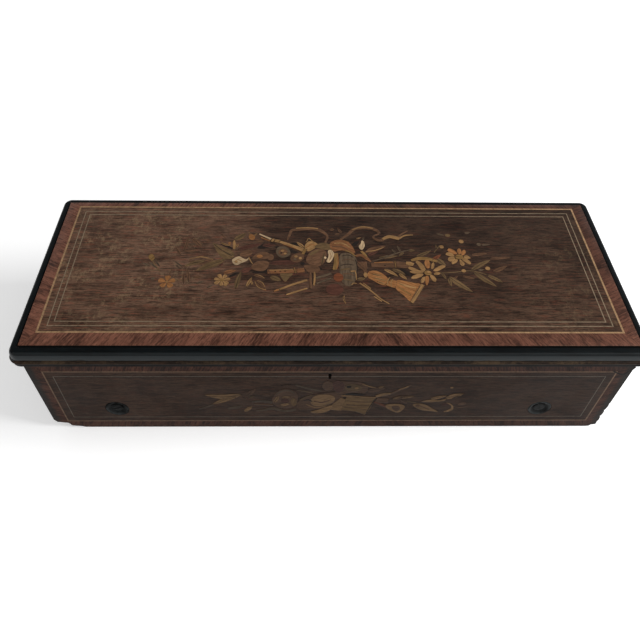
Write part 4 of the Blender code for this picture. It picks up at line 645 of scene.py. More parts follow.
def settle(piece):
    """Gives a piece the mesh that its modifiers make, and clears them."""
    graph = bpy.context.evaluated_depsgraph_get()
    done = bpy.data.meshes.new_from_object(
        piece.evaluated_get(graph), preserve_all_data_layers=True, depsgraph=graph
    )
    old = piece.data
    piece.modifiers.clear()
    piece.data = done
    bpy.data.meshes.remove(old)
    smooth_faces(done)


def carve(piece, cutter, keep_finish=True):
    """Cuts the cutter out of a piece; the cut faces may keep the cutter's finish."""
    change = piece.modifiers.new("carve", "BOOLEAN")
    change.operation = "DIFFERENCE"
    change.solver = "EXACT"
    change.object = cutter
    if keep_finish:
        change.material_mode = "TRANSFER"
        change.use_self = True
    settle(piece)
    bpy.data.objects.remove(cutter)


def box_between(bm, low, high):
    """A block between two corners, in metres."""
    low, high = Vector(low), Vector(high)
    scale = Matrix.Diagonal((*(high - low), 1.0))
    bmesh.ops.create_cube(bm, size=1.0, matrix=Matrix.Translation((low + high) / 2) @ scale)


def rod(bm, radius, depth, segments, place):
    """A cylinder whose axis is Z before its place turns it."""
    bmesh.ops.create_cone(
        bm, cap_ends=True, segments=segments, radius1=radius, radius2=radius, depth=depth, matrix=place
    )


def facing(place, direction):
    """A place whose Z looks in a direction."""
    return Matrix.Translation(place) @ Vector(direction).to_track_quat("Z", "Y").to_matrix().to_4x4()


def grain_uv(face, layer, turn, push):
    """Lays a face's UVs flat in metres, turned to the grain and pushed to a part of the wood."""
    for loop in face.loops:
        flat = loop.vert.co.xy
        flat.rotate(turn)
        loop[layer].uv = flat + push


def turned(bm, profile, centre, axis, steps):
    """Spins a profile of (radius, along) pairs about an axis through a centre."""
    axis = Vector(axis).normalized()
    side = axis.orthogonal().normalized()
    verts = [bm.verts.new(Vector(centre) + side * radius + axis * along) for radius, along in profile]
    edges = [bm.edges.new(pair) for pair in zip(verts, verts[1:])]
    bmesh.ops.spin(
        bm, geom=verts + edges, cent=centre, axis=axis, dvec=(0, 0, 0), angle=math.tau, steps=steps, use_merge=True
    )
    bmesh.ops.remove_doubles(bm, verts=bm.verts, dist=1e-7)
    bmesh.ops.recalc_face_normals(bm, faces=bm.faces)


def pour(part, whole):
    """Adds a small mesh to a large one and lets the small one go."""
    mesh = bpy.data.meshes.new("part")
    part.to_mesh(mesh)
    part.free()
    whole.from_mesh(mesh)
    bpy.data.meshes.remove(mesh)


def middle_of(node):
    """The middle of a CAD node's box."""
    low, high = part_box(node)
    return (low + high) / 2


def joined_copy(node):
    """A copy of a CAD node's mesh with its loose triangles joined into whole faces."""
    bm = bmesh.new()
    bm.from_mesh(frame["nodes"][node].data)
    bmesh.ops.remove_doubles(bm, verts=bm.verts, dist=SAME_PLACE)
    bmesh.ops.dissolve_limit(
        bm, angle_limit=math.radians(1.0), use_dissolve_boundaries=False, verts=bm.verts, edges=bm.edges
    )
    return bm


def ease_corners(bm, width, segments=2):
    """Rounds over the corners of a whole mesh."""
    edges = [e for e in bm.edges if len(e.link_faces) == 2 and e.calc_face_angle(0.0) > EASED_ABOVE]
    bmesh.ops.bevel(
        bm, geom=edges, offset=width, affect="EDGES", segments=segments, profile=0.5, material=-1, clamp_overlap=True
    )


def body_of_node(node):
    """The CAD body that a node rides on."""
    return frame["nodes"][node]["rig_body"]


def eased_node(node, finish, width, segments=2):
    """Replaces a CAD node by a copy with eased corners."""
    bm = joined_copy(node)
    ease_corners(bm, width, segments)
    return hand_over("finished_" + node, bm, [finish], body_of_node(node), (node,))


# Sheets with nested lines


def next_rectangle(bm, face, low, high):
    """Insets a rectangular face and sets the new inner face's corners on a given rectangle."""
    bmesh.ops.inset_region(
        bm, faces=[face], thickness=0.5 * MM, depth=0.0, use_even_offset=True, use_boundary=True
    )
    middle = face.calc_center_median()
    for vert in face.verts:
        vert.co.x = low[0] if vert.co.x < middle.x else high[0]
        vert.co.y = low[1] if vert.co.y < middle.y else high[1]


def lined_sheet(outer, rectangles):
    """A flat rectangle divided by nested rectangles of (low, high, finish); what lies outside them is finish 0."""
    bm = bmesh.new()
    worn = bm.verts.layers.float.new("worn")
    (x0, y0), (x1, y1) = outer
    corners = [bm.verts.new((x, y, 0.0)) for x, y in ((x0, y0), (x1, y0), (x1, y1), (x0, y1))]
    for vert in corners:
        vert[worn] = 1.0
    face = bm.faces.new(corners)
    for low, high, finish in rectangles:
        next_rectangle(bm, face, low, high)
        for vert in face.verts:
            vert[worn] = 0.0
        face.material_index = finish
    return bm


OUTER_LINE, FIELD, INNER_LINE = 1, 2, 3
SLANT_TURNS_AT = 0.045
BAND_REACH = 0.03
FIELD_PUSH = (0.37, 0.21)  # which part of the wood the field shows


def grain_map(bm, slant):
    """UVs in metres along the grain: along X in the field, slanting across each band, mirrored at one place."""
    layer = bm.loops.layers.uv.new("grain")
    cuts = bm.verts[:] + bm.edges[:] + bm.faces[:]
    bmesh.ops.bisect_plane(bm, geom=cuts, dist=1e-6, plane_co=(SLANT_TURNS_AT, 0, 0), plane_no=(1, 0, 0))
    half = max(vert.co.x for vert in bm.verts)
    top = max(vert.co.y for vert in bm.verts)
    low = min(vert.co.y for vert in bm.verts)
    for face in bm.faces:
        centre = face.calc_center_median()
        middle = face.material_index == FIELD
        long_band = min(centre.y - low, top - centre.y) < BAND_REACH and abs(centre.x) < half - BAND_REACH
        turn = slant if centre.x < SLANT_TURNS_AT else -slant
        if middle:
            turn = 0.0
        elif not long_band:
            turn += QUARTER
        push = Vector(FIELD_PUSH) if middle else Vector((centre.x + 0.5, centre.y * 1.7))
        grain_uv(face, layer, Matrix.Rotation(-turn, 2), push)


def line_rings(low, high, offsets):
    """The outer and the inner edge of each line; an offset is (distances, width, the line's and the next finish)."""
    rings = []
    for (front, side, back), width, *finishes in offsets:
        for move, finish in zip((-width / 2, width / 2), finishes):
            near = (low[0] + (side + move), low[1] + (front + move))
            far = (high[0] - (side + move), high[1] - (back + move))
            rings.append((near, far, finish))
    return rings


LID_END_REACH = 0.0127  # from the end of the veneer to the end of the lid
LID_DEPTH = 0.25
LID_SLANT = math.radians(62)  # of the grain across the bands


class LidTop(bpy.types.Operator):
    """Lays the lid's rosewood field, its three light lines and its crossbanding"""

    bl_idname = "music_box.lid_top"
    bl_label = "Lid Top"

    def execute(self, context):
        sizes = context.scene.music_box_sizes
        low = (LID_LOW.x - LID_END_REACH, LID_FRONT)
        high = (LID_HIGH.x + LID_END_REACH, LID_FRONT + LID_DEPTH)
        first = (sizes.lid_line_front, sizes.lid_line_side, sizes.lid_line_back)
        second = [part + sizes.second_line_step for part in first]
        third = [part + sizes.third_line_step for part in first]
        offsets = [(first, sizes.lid_line_width, OUTER_LINE, FIELD)]
        offsets += [(inner, sizes.fine_line_width, INNER_LINE, FIELD) for inner in (second, third)]
        outer = ((LID_LOW.x, LID_LOW.y), (LID_HIGH.x, LID_HIGH.y))
        bm = lined_sheet(outer, line_rings(low, high, offsets))
        grain_map(bm, LID_SLANT)
        bmesh.ops.translate(bm, verts=bm.verts, vec=(0, 0, LID_HIGH.z))
        finishes = ["lid banding", "line tan", "lid rosewood", "line olive"]
        piece = hand_over("lid_top", bm, finishes, "lid", ("lid_veneer",))
        thicken(piece, VENEER)
        round_over(piece, sizes.edge_ease)
        return {"FINISHED"}


def thicken(piece, depth):
    """Gives a sheet its thickness behind its face."""
    shell = piece.modifiers.new("thickness", "SOLIDIFY")
    shell.thickness = depth
    shell.offset = -1.0


def round_over(piece, width, segments=3):
    """Rounds a piece's corners over."""
    ease = piece.modifiers.new("eased edge", "BEVEL")
    ease.width = width
    ease.segments = segments
    ease.limit_method = "ANGLE"
    ease.angle_limit = math.radians(40)


# The lid's moulding

# The section, as millimetres out from the board and up from the floor
MOULDING_PROFILE = [(0.0, 128.0), (0.0, 146.9), (1.0, 146.9), (1.2, 148.0), (1.6, 148.5), (3.6, 148.5)]
MOULDING_PROFILE += [(5.6, 148.3), (7.2, 147.6), (8.5, 146.5), (9.5, 144.9), (10.2, 143.0), (10.6, 140.8)]
MOULDING_PROFILE += [(10.7, 138.9), (10.6, 138.3), (10.1, 137.9), (9.9, 137.4), (10.3, 137.0), (11.2, 136.8)]
MOULDING_PROFILE += [(11.9, 136.4), (12.4, 135.6), (12.4, 134.6), (12.0, 133.8), (11.3, 133.3), (11.0, 132.4)]
MOULDING_PROFILE += [(11.0, 129.6), (10.6, 128.6), (9.6, 128.0)]


# Finishes of the moulding, in the order of its material slots
MOULDING_WOODS = ["ebonised moulding", "shadow black", "moulding bead", "moulding crown shade", "moulding shoulder shade"]
QUIRK_SHADE, BEAD, CROWN_SHADE, SHOULDER_SHADE = range(1, 5)
CORNER_STEPS = 10
GROOVE_TOP = 138.1 * MM  # below it the section's back is plain
FOOT_TOP = 128.3 * MM
BEAD_REACH = 12.4 * MM
CHIPPED = (134.0 * MM, 139.5 * MM)  # heights of the bead's worn part


def board_edges():
    """Where the moulding meets the lid's board: its end, its front and its back, a little clear of it."""
    return BOARD_HIGH.x + 0.3 * MM, BOARD_LOW.y - 0.3 * MM, BOARD_HIGH.y + 0.3 * MM


def sweep(bm, geometry, centre, turn, run, steps):
    """Carries a section round a corner or along a straight, and returns the last section."""
    done = bmesh.ops.spin(
        bm, geom=geometry, cent=centre, axis=(0, 0, 1), dvec=run, angle=turn, steps=steps, use_merge=False
    )
    return done["geom_last"]


def smooth_step(value):
    """A smooth rise from 0 to 1."""
    value = max(0.0, min(1.0, value))
    return value * value * (3 - 2 * value)


def shape_moulding(bm):
    """Makes the back plain, chips the bead and marks it as worn."""
    worn = bm.verts.layers.float.new("worn")
    x_edge, y_low, y_high = board_edges()
    for vert in bm.verts:
        anchor = Vector((max(-x_edge, min(x_edge, vert.co.x)), max(y_low, min(y_high, vert.co.y)), vert.co.z))
        out = vert.co - anchor
        reach = out.length
        if reach < 1e-6:
            continue
        out.normalize()
        plain = smooth_step((out.y - 0.2) / 0.7)
        if vert.co.z < GROOVE_TOP and reach > 9 * MM:
            reach += (BEAD_REACH - reach) * plain
            if vert.co.z < FOOT_TOP:
                reach -= 0.2 * MM * plain
        if CHIPPED[0] < vert.co.z < CHIPPED[1] and reach > 9.8 * MM:
            chip = noise.noise(vert.co * 110.0) + 0.5 * noise.noise(vert.co * 380.0)
            reach -= max(0.0, chip - 0.2) * 0.9 * MM * (1.0 - plain)
            vert[worn] = 1.0
        vert.co = anchor + out * reach


def moulding_finishes(bm):
    """Gives each part of the section its wood, by its height and its distance out from the board: the crown and the
    shoulder are painted darker than the face as painted shade, and the quirk beside the board and the foot under the
    bead are near-black painted shade.
    """
    for face in bm.faces:
        centre = face.calc_center_median()
        side = max(abs(centre.x) - BOARD_HIGH.x, BOARD_LOW.y - centre.y, centre.y - BOARD_HIGH.y) / MM
        height = centre.z / MM
        if height > 146.5 and side < 7.4:
            face.material_index = QUIRK_SHADE if side < 1.7 else CROWN_SHADE
        elif height < 137.3 and side > 9.5:
            face.material_index = BEAD if height > 134.2 else QUIRK_SHADE
        elif height > 145.3 and side < 9.4:
            face.material_index = SHOULDER_SHADE


def moulding_uv(bm):
    """UVs in metres: along the moulding, and round its section."""
    layer = bm.loops.layers.uv.new("grain")
    for face in bm.faces:
        centre = face.calc_center_median()
        along_x = (BOARD_LOW.y - centre.y > abs(centre.x) - BOARD_HIGH.x) or centre.y > BOARD_HIGH.y
        for loop in face.loops:
            place = loop.vert.co
            along = place.x if along_x else place.y
            across = place.z + (place.y if along_x else place.x)
            loop[layer].uv = (along, across)


HINGE_RECESS = ((0.1128, 0.1275), (0.1245, 0.1298))
HINGE_PIN = (0.1244, 0.12785)


def hinge_cutter():
    """What the two hinges need: a recess for each leaf and a groove for each knuckle."""
    clear, radius = 0.3 * MM, 2.9 * MM
    (y_low, z_low), (y_high, z_high) = HINGE_RECESS
    bm = bmesh.new()
    for node in ("hinge_lid_leaf_left", "hinge_lid_leaf_right"):
        low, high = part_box(node)
        box_between(bm, (low.x - clear, y_low, z_low), (high.x + clear, y_high, z_high))
        middle = Matrix.Translation(((low.x + high.x) / 2, *HINGE_PIN))
        rod(bm, radius, high.x - low.x + 2 * clear, 32, middle @ Matrix.Rotation(QUARTER, 4, "Y"))
    return hand_over("hinge_cutter", bm, ["case wood x"])


class LidMoulding(bpy.types.Operator):
    """Runs the ebonised moulding round the lid in one ring, with rounded corners and a chipped bead"""

    bl_idname = "music_box.lid_moulding"
    bl_label = "Lid Moulding"

    def execute(self, context):
        bm = bmesh.new()
        x_edge, y_low, y_high = board_edges()
        verts = [bm.verts.new((-x_edge, y_low - out * MM, z * MM)) for out, z in MOULDING_PROFILE]
        edges = [bm.edges.new(pair) for pair in zip(verts, verts[1:] + verts[:1])]
        section = verts + edges
        wide, deep = 2 * x_edge, y_high - y_low
        # Each side's run, its steps and the corner after it: most steps in front, where the bead is chipped
        runs = [((wide, 0, 0), 150, (x_edge, y_low, 0)), ((0, deep, 0), 40, (x_edge, y_high, 0))]
        runs += [((-wide, 0, 0), 20, (-x_edge, y_high, 0)), ((0, -deep, 0), 40, (-x_edge, y_low, 0))]
        for run, steps, corner in runs:
            step = Vector(run) / steps
            section = sweep(bm, section, (0, 0, 0), 0.0, step, steps)
            section = sweep(bm, section, corner, QUARTER, (0, 0, 0), CORNER_STEPS)
        bmesh.ops.remove_doubles(bm, verts=bm.verts, dist=SAME_PLACE)
        bmesh.ops.recalc_face_normals(bm, faces=bm.faces)
        shape_moulding(bm)
        moulding_finishes(bm)
        moulding_uv(bm)
        nodes = ["lid_moulding_" + side for side in ("front", "back", "left", "right")]
        piece = hand_over("lid_moulding", bm, MOULDING_WOODS, "lid", nodes)
        carve(piece, hinge_cutter())
        return {"FINISHED"}


class LidBoard(bpy.types.Operator):
    """Finishes the lid's board: plain stained wood inside, and near-black painted shade above its underside, seen in
    the gap beside the moulding
    """

    bl_idname = "music_box.lid_board"
    bl_label = "Lid Board"

    def execute(self, context):
        bm = joined_copy("lid_panel")
        inside = BOARD_LOW.z + 2 * MM
        for face in bm.faces:
            face.material_index = 1 if face.normal.z > -0.5 and face.calc_center_median().z > inside else 0
        ease_corners(bm, 0.15 * MM, 1)
        hand_over("finished_lid_panel", bm, ["case wood x", "shadow black"], "lid", ("lid_panel",))
        return {"FINISHED"}


# The front


WASHER_HOLE = 13.3 * MM
KEYHOLE_HEAD = (-2 * MM, 105 * MM, 2.0 * MM)  # its place along the front and up from the floor, and its radius
KEYHOLE_FOOT = ((-3.3 * MM, 98 * MM), (-0.7 * MM, 104.5 * MM))


def front_cutter():
    """The keyhole, a round head over a foot, and the two holes for the cup washers; their cut walls take near-black
    painted shade.
    """
    bm = bmesh.new()
    depth = 10 * MM
    y = FRONT_LOW.y
    holes = []
    for node in ("cup_washer_left", "cup_washer_right"):
        middle = middle_of(node)
        holes.append((middle.x, middle.z, WASHER_HOLE, 64))
    holes.append((*KEYHOLE_HEAD, 32))
    for x, z, radius, segments in holes:
        rod(bm, radius, depth, segments, Matrix.Translation((x, y, z)) @ Matrix.Rotation(QUARTER, 4, "X"))
    (x_low, z_low), (x_high, z_high) = KEYHOLE_FOOT
    box_between(bm, (x_low, y - depth / 2, z_low), (x_high, y + depth / 2, z_high))
    return hand_over("front_cutter", bm, ["shadow black"])


FRONT_SLANT = math.radians(70)  # of the grain across the bands
# Distances of the front's two lines from its foot, its ends and the lid's foot
FRONT_OUTER_LINE = (0.0137, 0.0158, 0.017)
FRONT_INNER_LINE = (0.0222, 0.0248, 0.0254)


class FrontSheet(bpy.types.Operator):
    """Lays the front's rosewood field, its two lines and its crossbanding"""

    bl_idname = "music_box.front_sheet"
    bl_label = "Front Sheet"

    def execute(self, context):
        sizes = context.scene.music_box_sizes
        low, high = (FRONT_LOW.x, 0.0), (FRONT_HIGH.x, FRONT_HIGH.z)
        offsets = [(FRONT_OUTER_LINE, sizes.front_line_width, OUTER_LINE, FIELD)]
        offsets += [(FRONT_INNER_LINE, sizes.front_fine_width, INNER_LINE, FIELD)]
        outer = ((FRONT_LOW.x, FRONT_LOW.z), (FRONT_HIGH.x, FRONT_HIGH.z))
        bm = lined_sheet(outer, line_rings(low, high, offsets))
        grain_map(bm, FRONT_SLANT)
        bmesh.ops.rotate(bm, verts=bm.verts, cent=(0, 0, 0), matrix=Matrix.Rotation(QUARTER, 3, "X"))
        bmesh.ops.translate(bm, verts=bm.verts, vec=(0, FRONT_LOW.y, 0))
        finishes = ["front banding", "line dull", "front rosewood", "line grey"]
        piece = hand_over("front_sheet", bm, finishes, "case", ("front_veneer",))
        thicken(piece, VENEER)
        settle(piece)
        carve(piece, front_cutter())
        carve(piece, corner_cutter())
        round_over(piece, 0.3 * MM, 2)
        return {"FINISHED"}


CASE_END = 320.0  # millimetres from the middle
WALL_CUT = (-0.1216, 0.0235)  # where a corner cut starts, and how deep it goes
# Outlines of the broken corners: millimetres inwards from the case's end, and up from the floor
CORNER_CHIPS = {
    -1: [(0, 16.5), (3, 11.3), (15, 9.1), (18, 3.5), (27, 2.4), (36, -0.5)],
    1: [(-0.5, 52), (0.5, 49), (-0.2, 45), (0.3, 39), (1.3, 35), (0.2, 31), (0.4, 27), (1.5, 22.5), (0.4, 19.5),
        (0.1, 14), (0.9, 9.5), (0.2, 6.5), (1.4, 4.4), (6.0, 3.2), (7.4, 1.2), (15, -0.5)],
}


def corner_cutter():
    """The broken lower corners of the case: rough wedges that are taken off the bottom edges."""
    bm = bmesh.new()
    beyond, below = CASE_END + 6.0, -6.0
    start, depth = WALL_CUT
    for side, chip in CORNER_CHIPS.items():
        outline = [(beyond * side, below), (beyond * side, chip[0][1] + 4)]
        for (near, high), (far, low) in zip(chip, chip[1:]):
            for step in range(4):
                share = step / 4
                x = CASE_END * side - side * (near + (far - near) * share)
                rough = 0.5 * noise.noise(Vector((x * 0.6, side * 3.0, 0.0)))
                outline.append((x, high + (low - high) * share + rough))
        outline.append((side * (CASE_END - chip[-1][0]), below))
        verts = [bm.verts.new((x * MM, start, z * MM)) for x, z in outline]
        face = bm.faces.new(verts)
        made = bmesh.ops.extrude_face_region(bm, geom=[face])["geom"]
        moved = [item for item in made if isinstance(item, bmesh.types.BMVert)]
        bmesh.ops.translate(bm, verts=moved, vec=(0, depth, 0))
    bmesh.ops.recalc_face_normals(bm, faces=bm.faces)
    return hand_over("corner_cutter", bm, ["bare wood"])


class CaseWalls(bpy.types.Operator):
    """Finishes the case's boards with eased corners, stained ends and broken lower corners"""

    bl_idname = "music_box.case_walls"
    bl_label = "Case Walls"

    def execute(self, context):
        ease = context.scene.music_box_sizes.edge_ease
        for node, finish in (("front_wall", "stained end x"), ("left_wall", "stained end y"),
                             ("right_wall", "stained end y"), ("back_wall", "stained end x")):
            piece = eased_node(node, finish, ease)
            if node != "back_wall":
                carve(piece, corner_cutter())
        eased_node("bottom_board", "pine", ease)
        for side in ("left", "right"):
            eased_node(side + "_partition", "case wood y", ease)
        for side, grain in (("front", "x"), ("back", "x"), ("left", "y"), ("right", "y")):
            eased_node("glass_frame_" + side, "case wood " + grain, 0.6 * MM)
        return {"FINISHED"}


# Small turned and slotted metal pieces


def slotted_head(radius, height, slot):
    """A mesh of one slotted head that stands on the XY plane, cut once and used many times."""
    bm = bmesh.new()
    dome = 0.35 * height
    profile = [(0.0, height), (radius * 0.5, height - dome * 0.12), (radius * 0.82, height - dome * 0.4)]
    profile += [(radius * 0.97, height - dome), (radius, height * 0.45), (radius, 0.0), (0.0, 0.0)]
    turned(bm, profile, (0, 0, 0), (0, 0, 1), 28)
    head = hand_over("slotted_head", bm)
    bm = bmesh.new()
    box_between(bm, (-radius * 1.2, -slot / 2, height - height * 0.45), (radius * 1.2, slot / 2, height * 1.5))
    carve(head, hand_over("slot_cutter", bm), keep_finish=False)
    mesh = head.data
    bpy.data.objects.remove(head)
    return mesh


def place_copies(name, mesh, places, finish, body):
    """Sets copies of one mesh at (place, direction, turn) and makes them one piece."""
    bm = bmesh.new()
    for place, direction, turn in places:
        before = len(bm.verts)
        bm.from_mesh(mesh)
        bm.verts.ensure_lookup_table()
        move = facing(place, direction) @ Matrix.Rotation(math.radians(turn), 4, "Z")
        bmesh.ops.transform(bm, matrix=move, verts=bm.verts[before:])
    return hand_over(name, bm, [finish], body)


# The section of a cup washer, as millimetres from its middle and back from its face
WASHER_PROFILE = [(3.3, 3.4), (3.3, 2.75), (3.6, 2.5), (7.1, 2.5), (7.7, 2.3), (10.2, 0.3), (10.9, -0.25)]
WASHER_PROFILE += [(11.7, -0.45), (12.4, -0.35), (12.9, 0.1), (13.0, 0.6), (13.0, 3.4)]


class CaseScrews(bpy.types.Operator):
    """Sets the dished washers in the front and the slotted screws that hold the works"""

    bl_idname = "music_box.case_screws"
    bl_label = "Case Screws"

    head_height = 1.9 * MM
    rim_starts = 10.4 * MM

    def execute(self, context):
        for side, turn in (("left", 20), ("right", -65)):
            self.washer(side)
            self.screw("front_" + side, 6.5 * MM, turn, 1)
            self.screw("back_" + side, 6.3 * MM, -turn, -1)
        return {"FINISHED"}

    def washer(self, side):
        """A dished washer whose rim is painted a little brighter than its cup: a painted highlight."""
        node = "cup_washer_" + side
        face_y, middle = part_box(node)[0].y, middle_of(node)
        bm = bmesh.new()
        profile = [(radius * MM, depth * MM) for radius, depth in WASHER_PROFILE]
        turned(bm, profile + profile[:1], (middle.x, face_y, middle.z), (0, 1, 0), 72)
        for face in bm.faces:
            place = face.calc_center_median() - middle
            if math.hypot(place.x, place.z) > self.rim_starts:
                face.material_index = 1
        hand_over("dished_washer_" + side, bm, ["dark metal", "washer rim highlight"], "case", (node,))

    def screw(self, where, radius, turn, way):
        """A domed slotted head with its shank behind it; way is 1 where the screw runs towards the back."""
        node = "case_screw_" + where
        low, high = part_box(node)
        middle = middle_of(node)
        seat = low.y + self.head_height if way > 0 else high.y - self.head_height
        mesh = slotted_head(radius, self.head_height, 1.2 * MM)
        places = [((middle.x, seat, middle.z), (0, -way, 0), turn)]
        piece = place_copies("screw_head_" + where, mesh, places, "dark metal", "case")
        bm = bmesh.new()
        bm.from_mesh(piece.data)
        length = (high.y - low.y) - self.head_height
        shank, point = 3.0 * MM, 1.6 * MM
        profile = [(0.0, 0.0), (shank, 0.0), (shank, length - 1.5 * MM), (point, length), (0.0, length)]
        turned(bm, profile, (middle.x, seat, middle.z), (0, way, 0), 24)
        bm.to_mesh(piece.data)
        bm.free()
        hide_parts(node)


# Marquetry


def curve_through(points, steps):
    """Points on a smooth curve through the given ones; each may carry a width."""
    ends = [points[0]] + list(points) + [points[-1]]
    found = []
    for a, b, c, d in zip(ends, ends[1:], ends[2:], ends[3:]):
        for step in range(steps):
            t = step / steps
            found.append(tuple(
                0.5 * (2 * q + (r - p) * t + (2 * p - 5 * q + 4 * r - s) * t * t + (3 * q - p - 3 * r + s) * t ** 3)
                for p, q, r, s in zip(a, b, c, d)
            ))
    return found + [tuple(points[-1])]


def left_of(run):
    """A direction turned a quarter to the left."""
    return Vector((-run.y, run.x))


def leaf_outline(x0, y0, x1, y1, width, bend):
    """A leaf from its foot to its tip; a bend lifts its middle sideways."""
    run = Vector((x1 - x0, y1 - y0))
    side = left_of(run).normalized()
    left, right = [], []
    for step in range(1, 9):
        t = step / 9
        spine = Vector((x0, y0)) + run * t + side * bend * math.sin(math.pi * t)
        half = width / 2 * math.sin(math.pi * t ** 0.8) ** 0.8 * (1.0 if step % 2 else 0.9)
        left.append(spine + side * half)
        right.append(spine - side * half)
    return [Vector((x0, y0))] + right + [Vector((x1, y1))] + left[::-1]


# Half a petal, as shares of its length and of its half width
PETAL = [(0.12, 0.10), (0.35, 0.55), (0.6, 0.92), (0.8, 1.0), (0.93, 0.75), (1.0, 0.28)]


def petal_outline(x, y, radius, share, turn):
    """One petal from near the heart outwards, broad before its round end."""
    aim = Vector((math.cos(turn), math.sin(turn)))
    side = left_of(aim)
    half = radius * share
    right = [Vector((x, y)) + aim * radius * t - side * half * w for t, w in PETAL]
    left = [Vector((x, y)) + aim * radius * t + side * half * w for t, w in PETAL]
    return right + left[::-1]


class Inlay:
    """Thin shaped pieces of veneer let into one face, drawn in millimetres on that face."""

    lowest, level_step, scatter = 0.05, 0.03, 0.012
    narrowest = 0.2
    disc_sides = 20

    def __init__(self, seed, shade=""):
        self.shade = shade
        self.whole = bmesh.new()
        self.with_layers(self.whole)
        self.luck = random.Random(seed)
        self.woods = []

    def with_layers(self, bm):
        """Gives a mesh the layers that the woods read."""
        bm.loops.layers.uv.new("grain")
        bm.verts.layers.float.new("tone")
        bm.verts.layers.float.new("scorch")
        return bm

    def lay(self, bm, wood, level, along, rim):
        """Scorches the rim of a piece, and gives it its wood, grain, tone and level."""
        uv, tones = bm.loops.layers.uv["grain"], bm.verts.layers.float["tone"]
        scorch = bm.verts.layers.float["scorch"]
        tone, push = self.luck.random(), Vector((self.luck.random(), self.luck.random()))
        wood = self.shade + wood
        if wood not in self.woods:
            self.woods.append(wood)
        faces = list(bm.faces)
        for vert in bm.verts:
            vert[scorch] = 1.0
        bmesh.ops.inset_region(
            bm, faces=faces, thickness=rim * MM, depth=0.0, use_even_offset=True, use_boundary=True
        )
        for vert in {v for f in faces for v in f.verts}:
            vert[scorch] = 0.0
        lift = (self.lowest + self.level_step * level + self.scatter * self.luck.random()) * MM
        for vert in bm.verts:
            vert[tones] = tone
            vert.co.z = lift
        turn = Matrix.Rotation(-along, 2)
        for face in bm.faces:
            face.material_index = self.woods.index(wood)
            face.normal_update()
            if face.normal.z < 0:
                face.normal_flip()
            grain_uv(face, uv, turn, push)
        pour(bm, self.whole)

    def outline(self, level, wood, points, along=0.0, rim=0.9):
        """A piece cut to an outline."""
        bm = self.with_layers(bmesh.new())
        bm.faces.new([bm.verts.new((p[0] * MM, p[1] * MM, 0.0)) for p in points])
        self.lay(bm, wood, level, along, rim)

    def leaf(self, level, wood, x0, y0, x1, y1, width, bend=0.0):
        """A leaf with a dark line for its rib."""
        along = math.atan2(y1 - y0, x1 - x0)
        self.outline(level, wood, leaf_outline(x0, y0, x1, y1, width, bend), along, min(1.0, width * 0.16))
        run = Vector((x1 - x0, y1 - y0))
        side = left_of(run).normalized() * bend
        middle = Vector((x0, y0)) + run * 0.5 + side
        tip = Vector((x0, y0)) + run * 0.88 + side * 0.4
        self.strip(level + 1, "black", [(x0, y0, 0.6), (middle.x, middle.y, 0.5), (tip.x, tip.y, 0.2)], 0.1)

    def strip(self, level, wood, points, rim=0.7, steps=5):
        """A band of changing width that follows a smooth curve of (x, y, width) points."""
        bm = self.with_layers(bmesh.new())
        path = curve_through(points, steps)
        banks = [[], []]
        for here, after, before in zip(path, path[1:] + path[-1:], path[:1] + path[:-1]):
            run = Vector((after[0] - before[0], after[1] - before[1])).normalized()
            side = left_of(run) * max(here[2], self.narrowest) / 2
            for bank, way in zip(banks, (1, -1)):
                bank.append(bm.verts.new(((here[0] + way * side.x) * MM, (here[1] + way * side.y) * MM, 0.0)))
        edges = [bm.edges.new(pair) for bank in banks for pair in zip(bank, bank[1:])]
        bmesh.ops.bridge_loops(bm, edges=edges)
        along = math.atan2(path[-1][1] - path[0][1], path[-1][0] - path[0][0])
        narrow = min(point[2] for point in points)
        self.lay(bm, wood, level, along, min(rim, max(narrow, 0.3) * (0.12 if narrow < 2.0 else 0.28)))

    def blob(self, level, wood, points, along=0.0, rim=1.1):
        """A piece with a smooth closed outline through the given points."""
        ring = list(points)
        smooth = curve_through(ring[-1:] + ring + ring[:2], 3)
        self.outline(level, wood, smooth[3 : 3 + 3 * len(ring)], along, rim)

    def disc(self, level, wood, x, y, wide, high, turn=0.0, rim=0.7):
        """A round or oval piece."""
        turn = math.radians(turn)
        points = []
        for step in range(self.disc_sides):
            a = math.tau * step / self.disc_sides
            flat = Vector((wide * math.cos(a), high * math.sin(a)))
            flat.rotate(Matrix.Rotation(turn, 2))
            points.append(flat + Vector((x, y)))
        self.outline(level, wood, points, turn, min(rim, high * 0.3))

    def flower(self, level, wood, x, y, radius, count, share, turn, heart, heart_radius):
        """Petals round a heart; every second petal lies a little higher."""
        for number in range(count):
            aim = math.radians(turn) + math.tau * number / count
            size = radius * (0.92 + 0.16 * self.luck.random())
            self.outline(level + number % 2 * 0.5, wood, petal_outline(x, y, size, share, aim), aim, 0.8)
        self.disc(level + 2, heart, x, y, heart_radius, heart_radius)

    def finish(self, name, place, body, slot):
        """Puts the drawing on its face and gives it its thickness."""
        bmesh.ops.transform(self.whole, matrix=place, verts=self.whole.verts)
        thicken(hand_over(name, self.whole, self.woods, body), INLAY_THICKNESS)


def measure(word):
    """One word of a drawing: a point, a number or a name."""
    if "," in word:
        return tuple(measure(part) for part in word.split(","))
    if word[-1].isdigit():
        return float(word) if "." in word else int(word)
    return word


def draw(inlay, drawing):
    """Cuts every piece of a drawing, in millimetres.

    A row names a kind of piece, its level and its wood. Its points follow, each written x,y or x,y,width,
    or else what the kind asks for: a leaf has its foot, tip, width and bend, a disc its middle and radii.
    """
    for row in drawing:
        kind, *words = (measure(word) for word in row.split())
        points = [word for word in words if isinstance(word, tuple)]
        rest = [word for word in words if not isinstance(word, tuple)]
        if points:
            rest.insert(2, points)
        getattr(inlay, kind)(*rest)


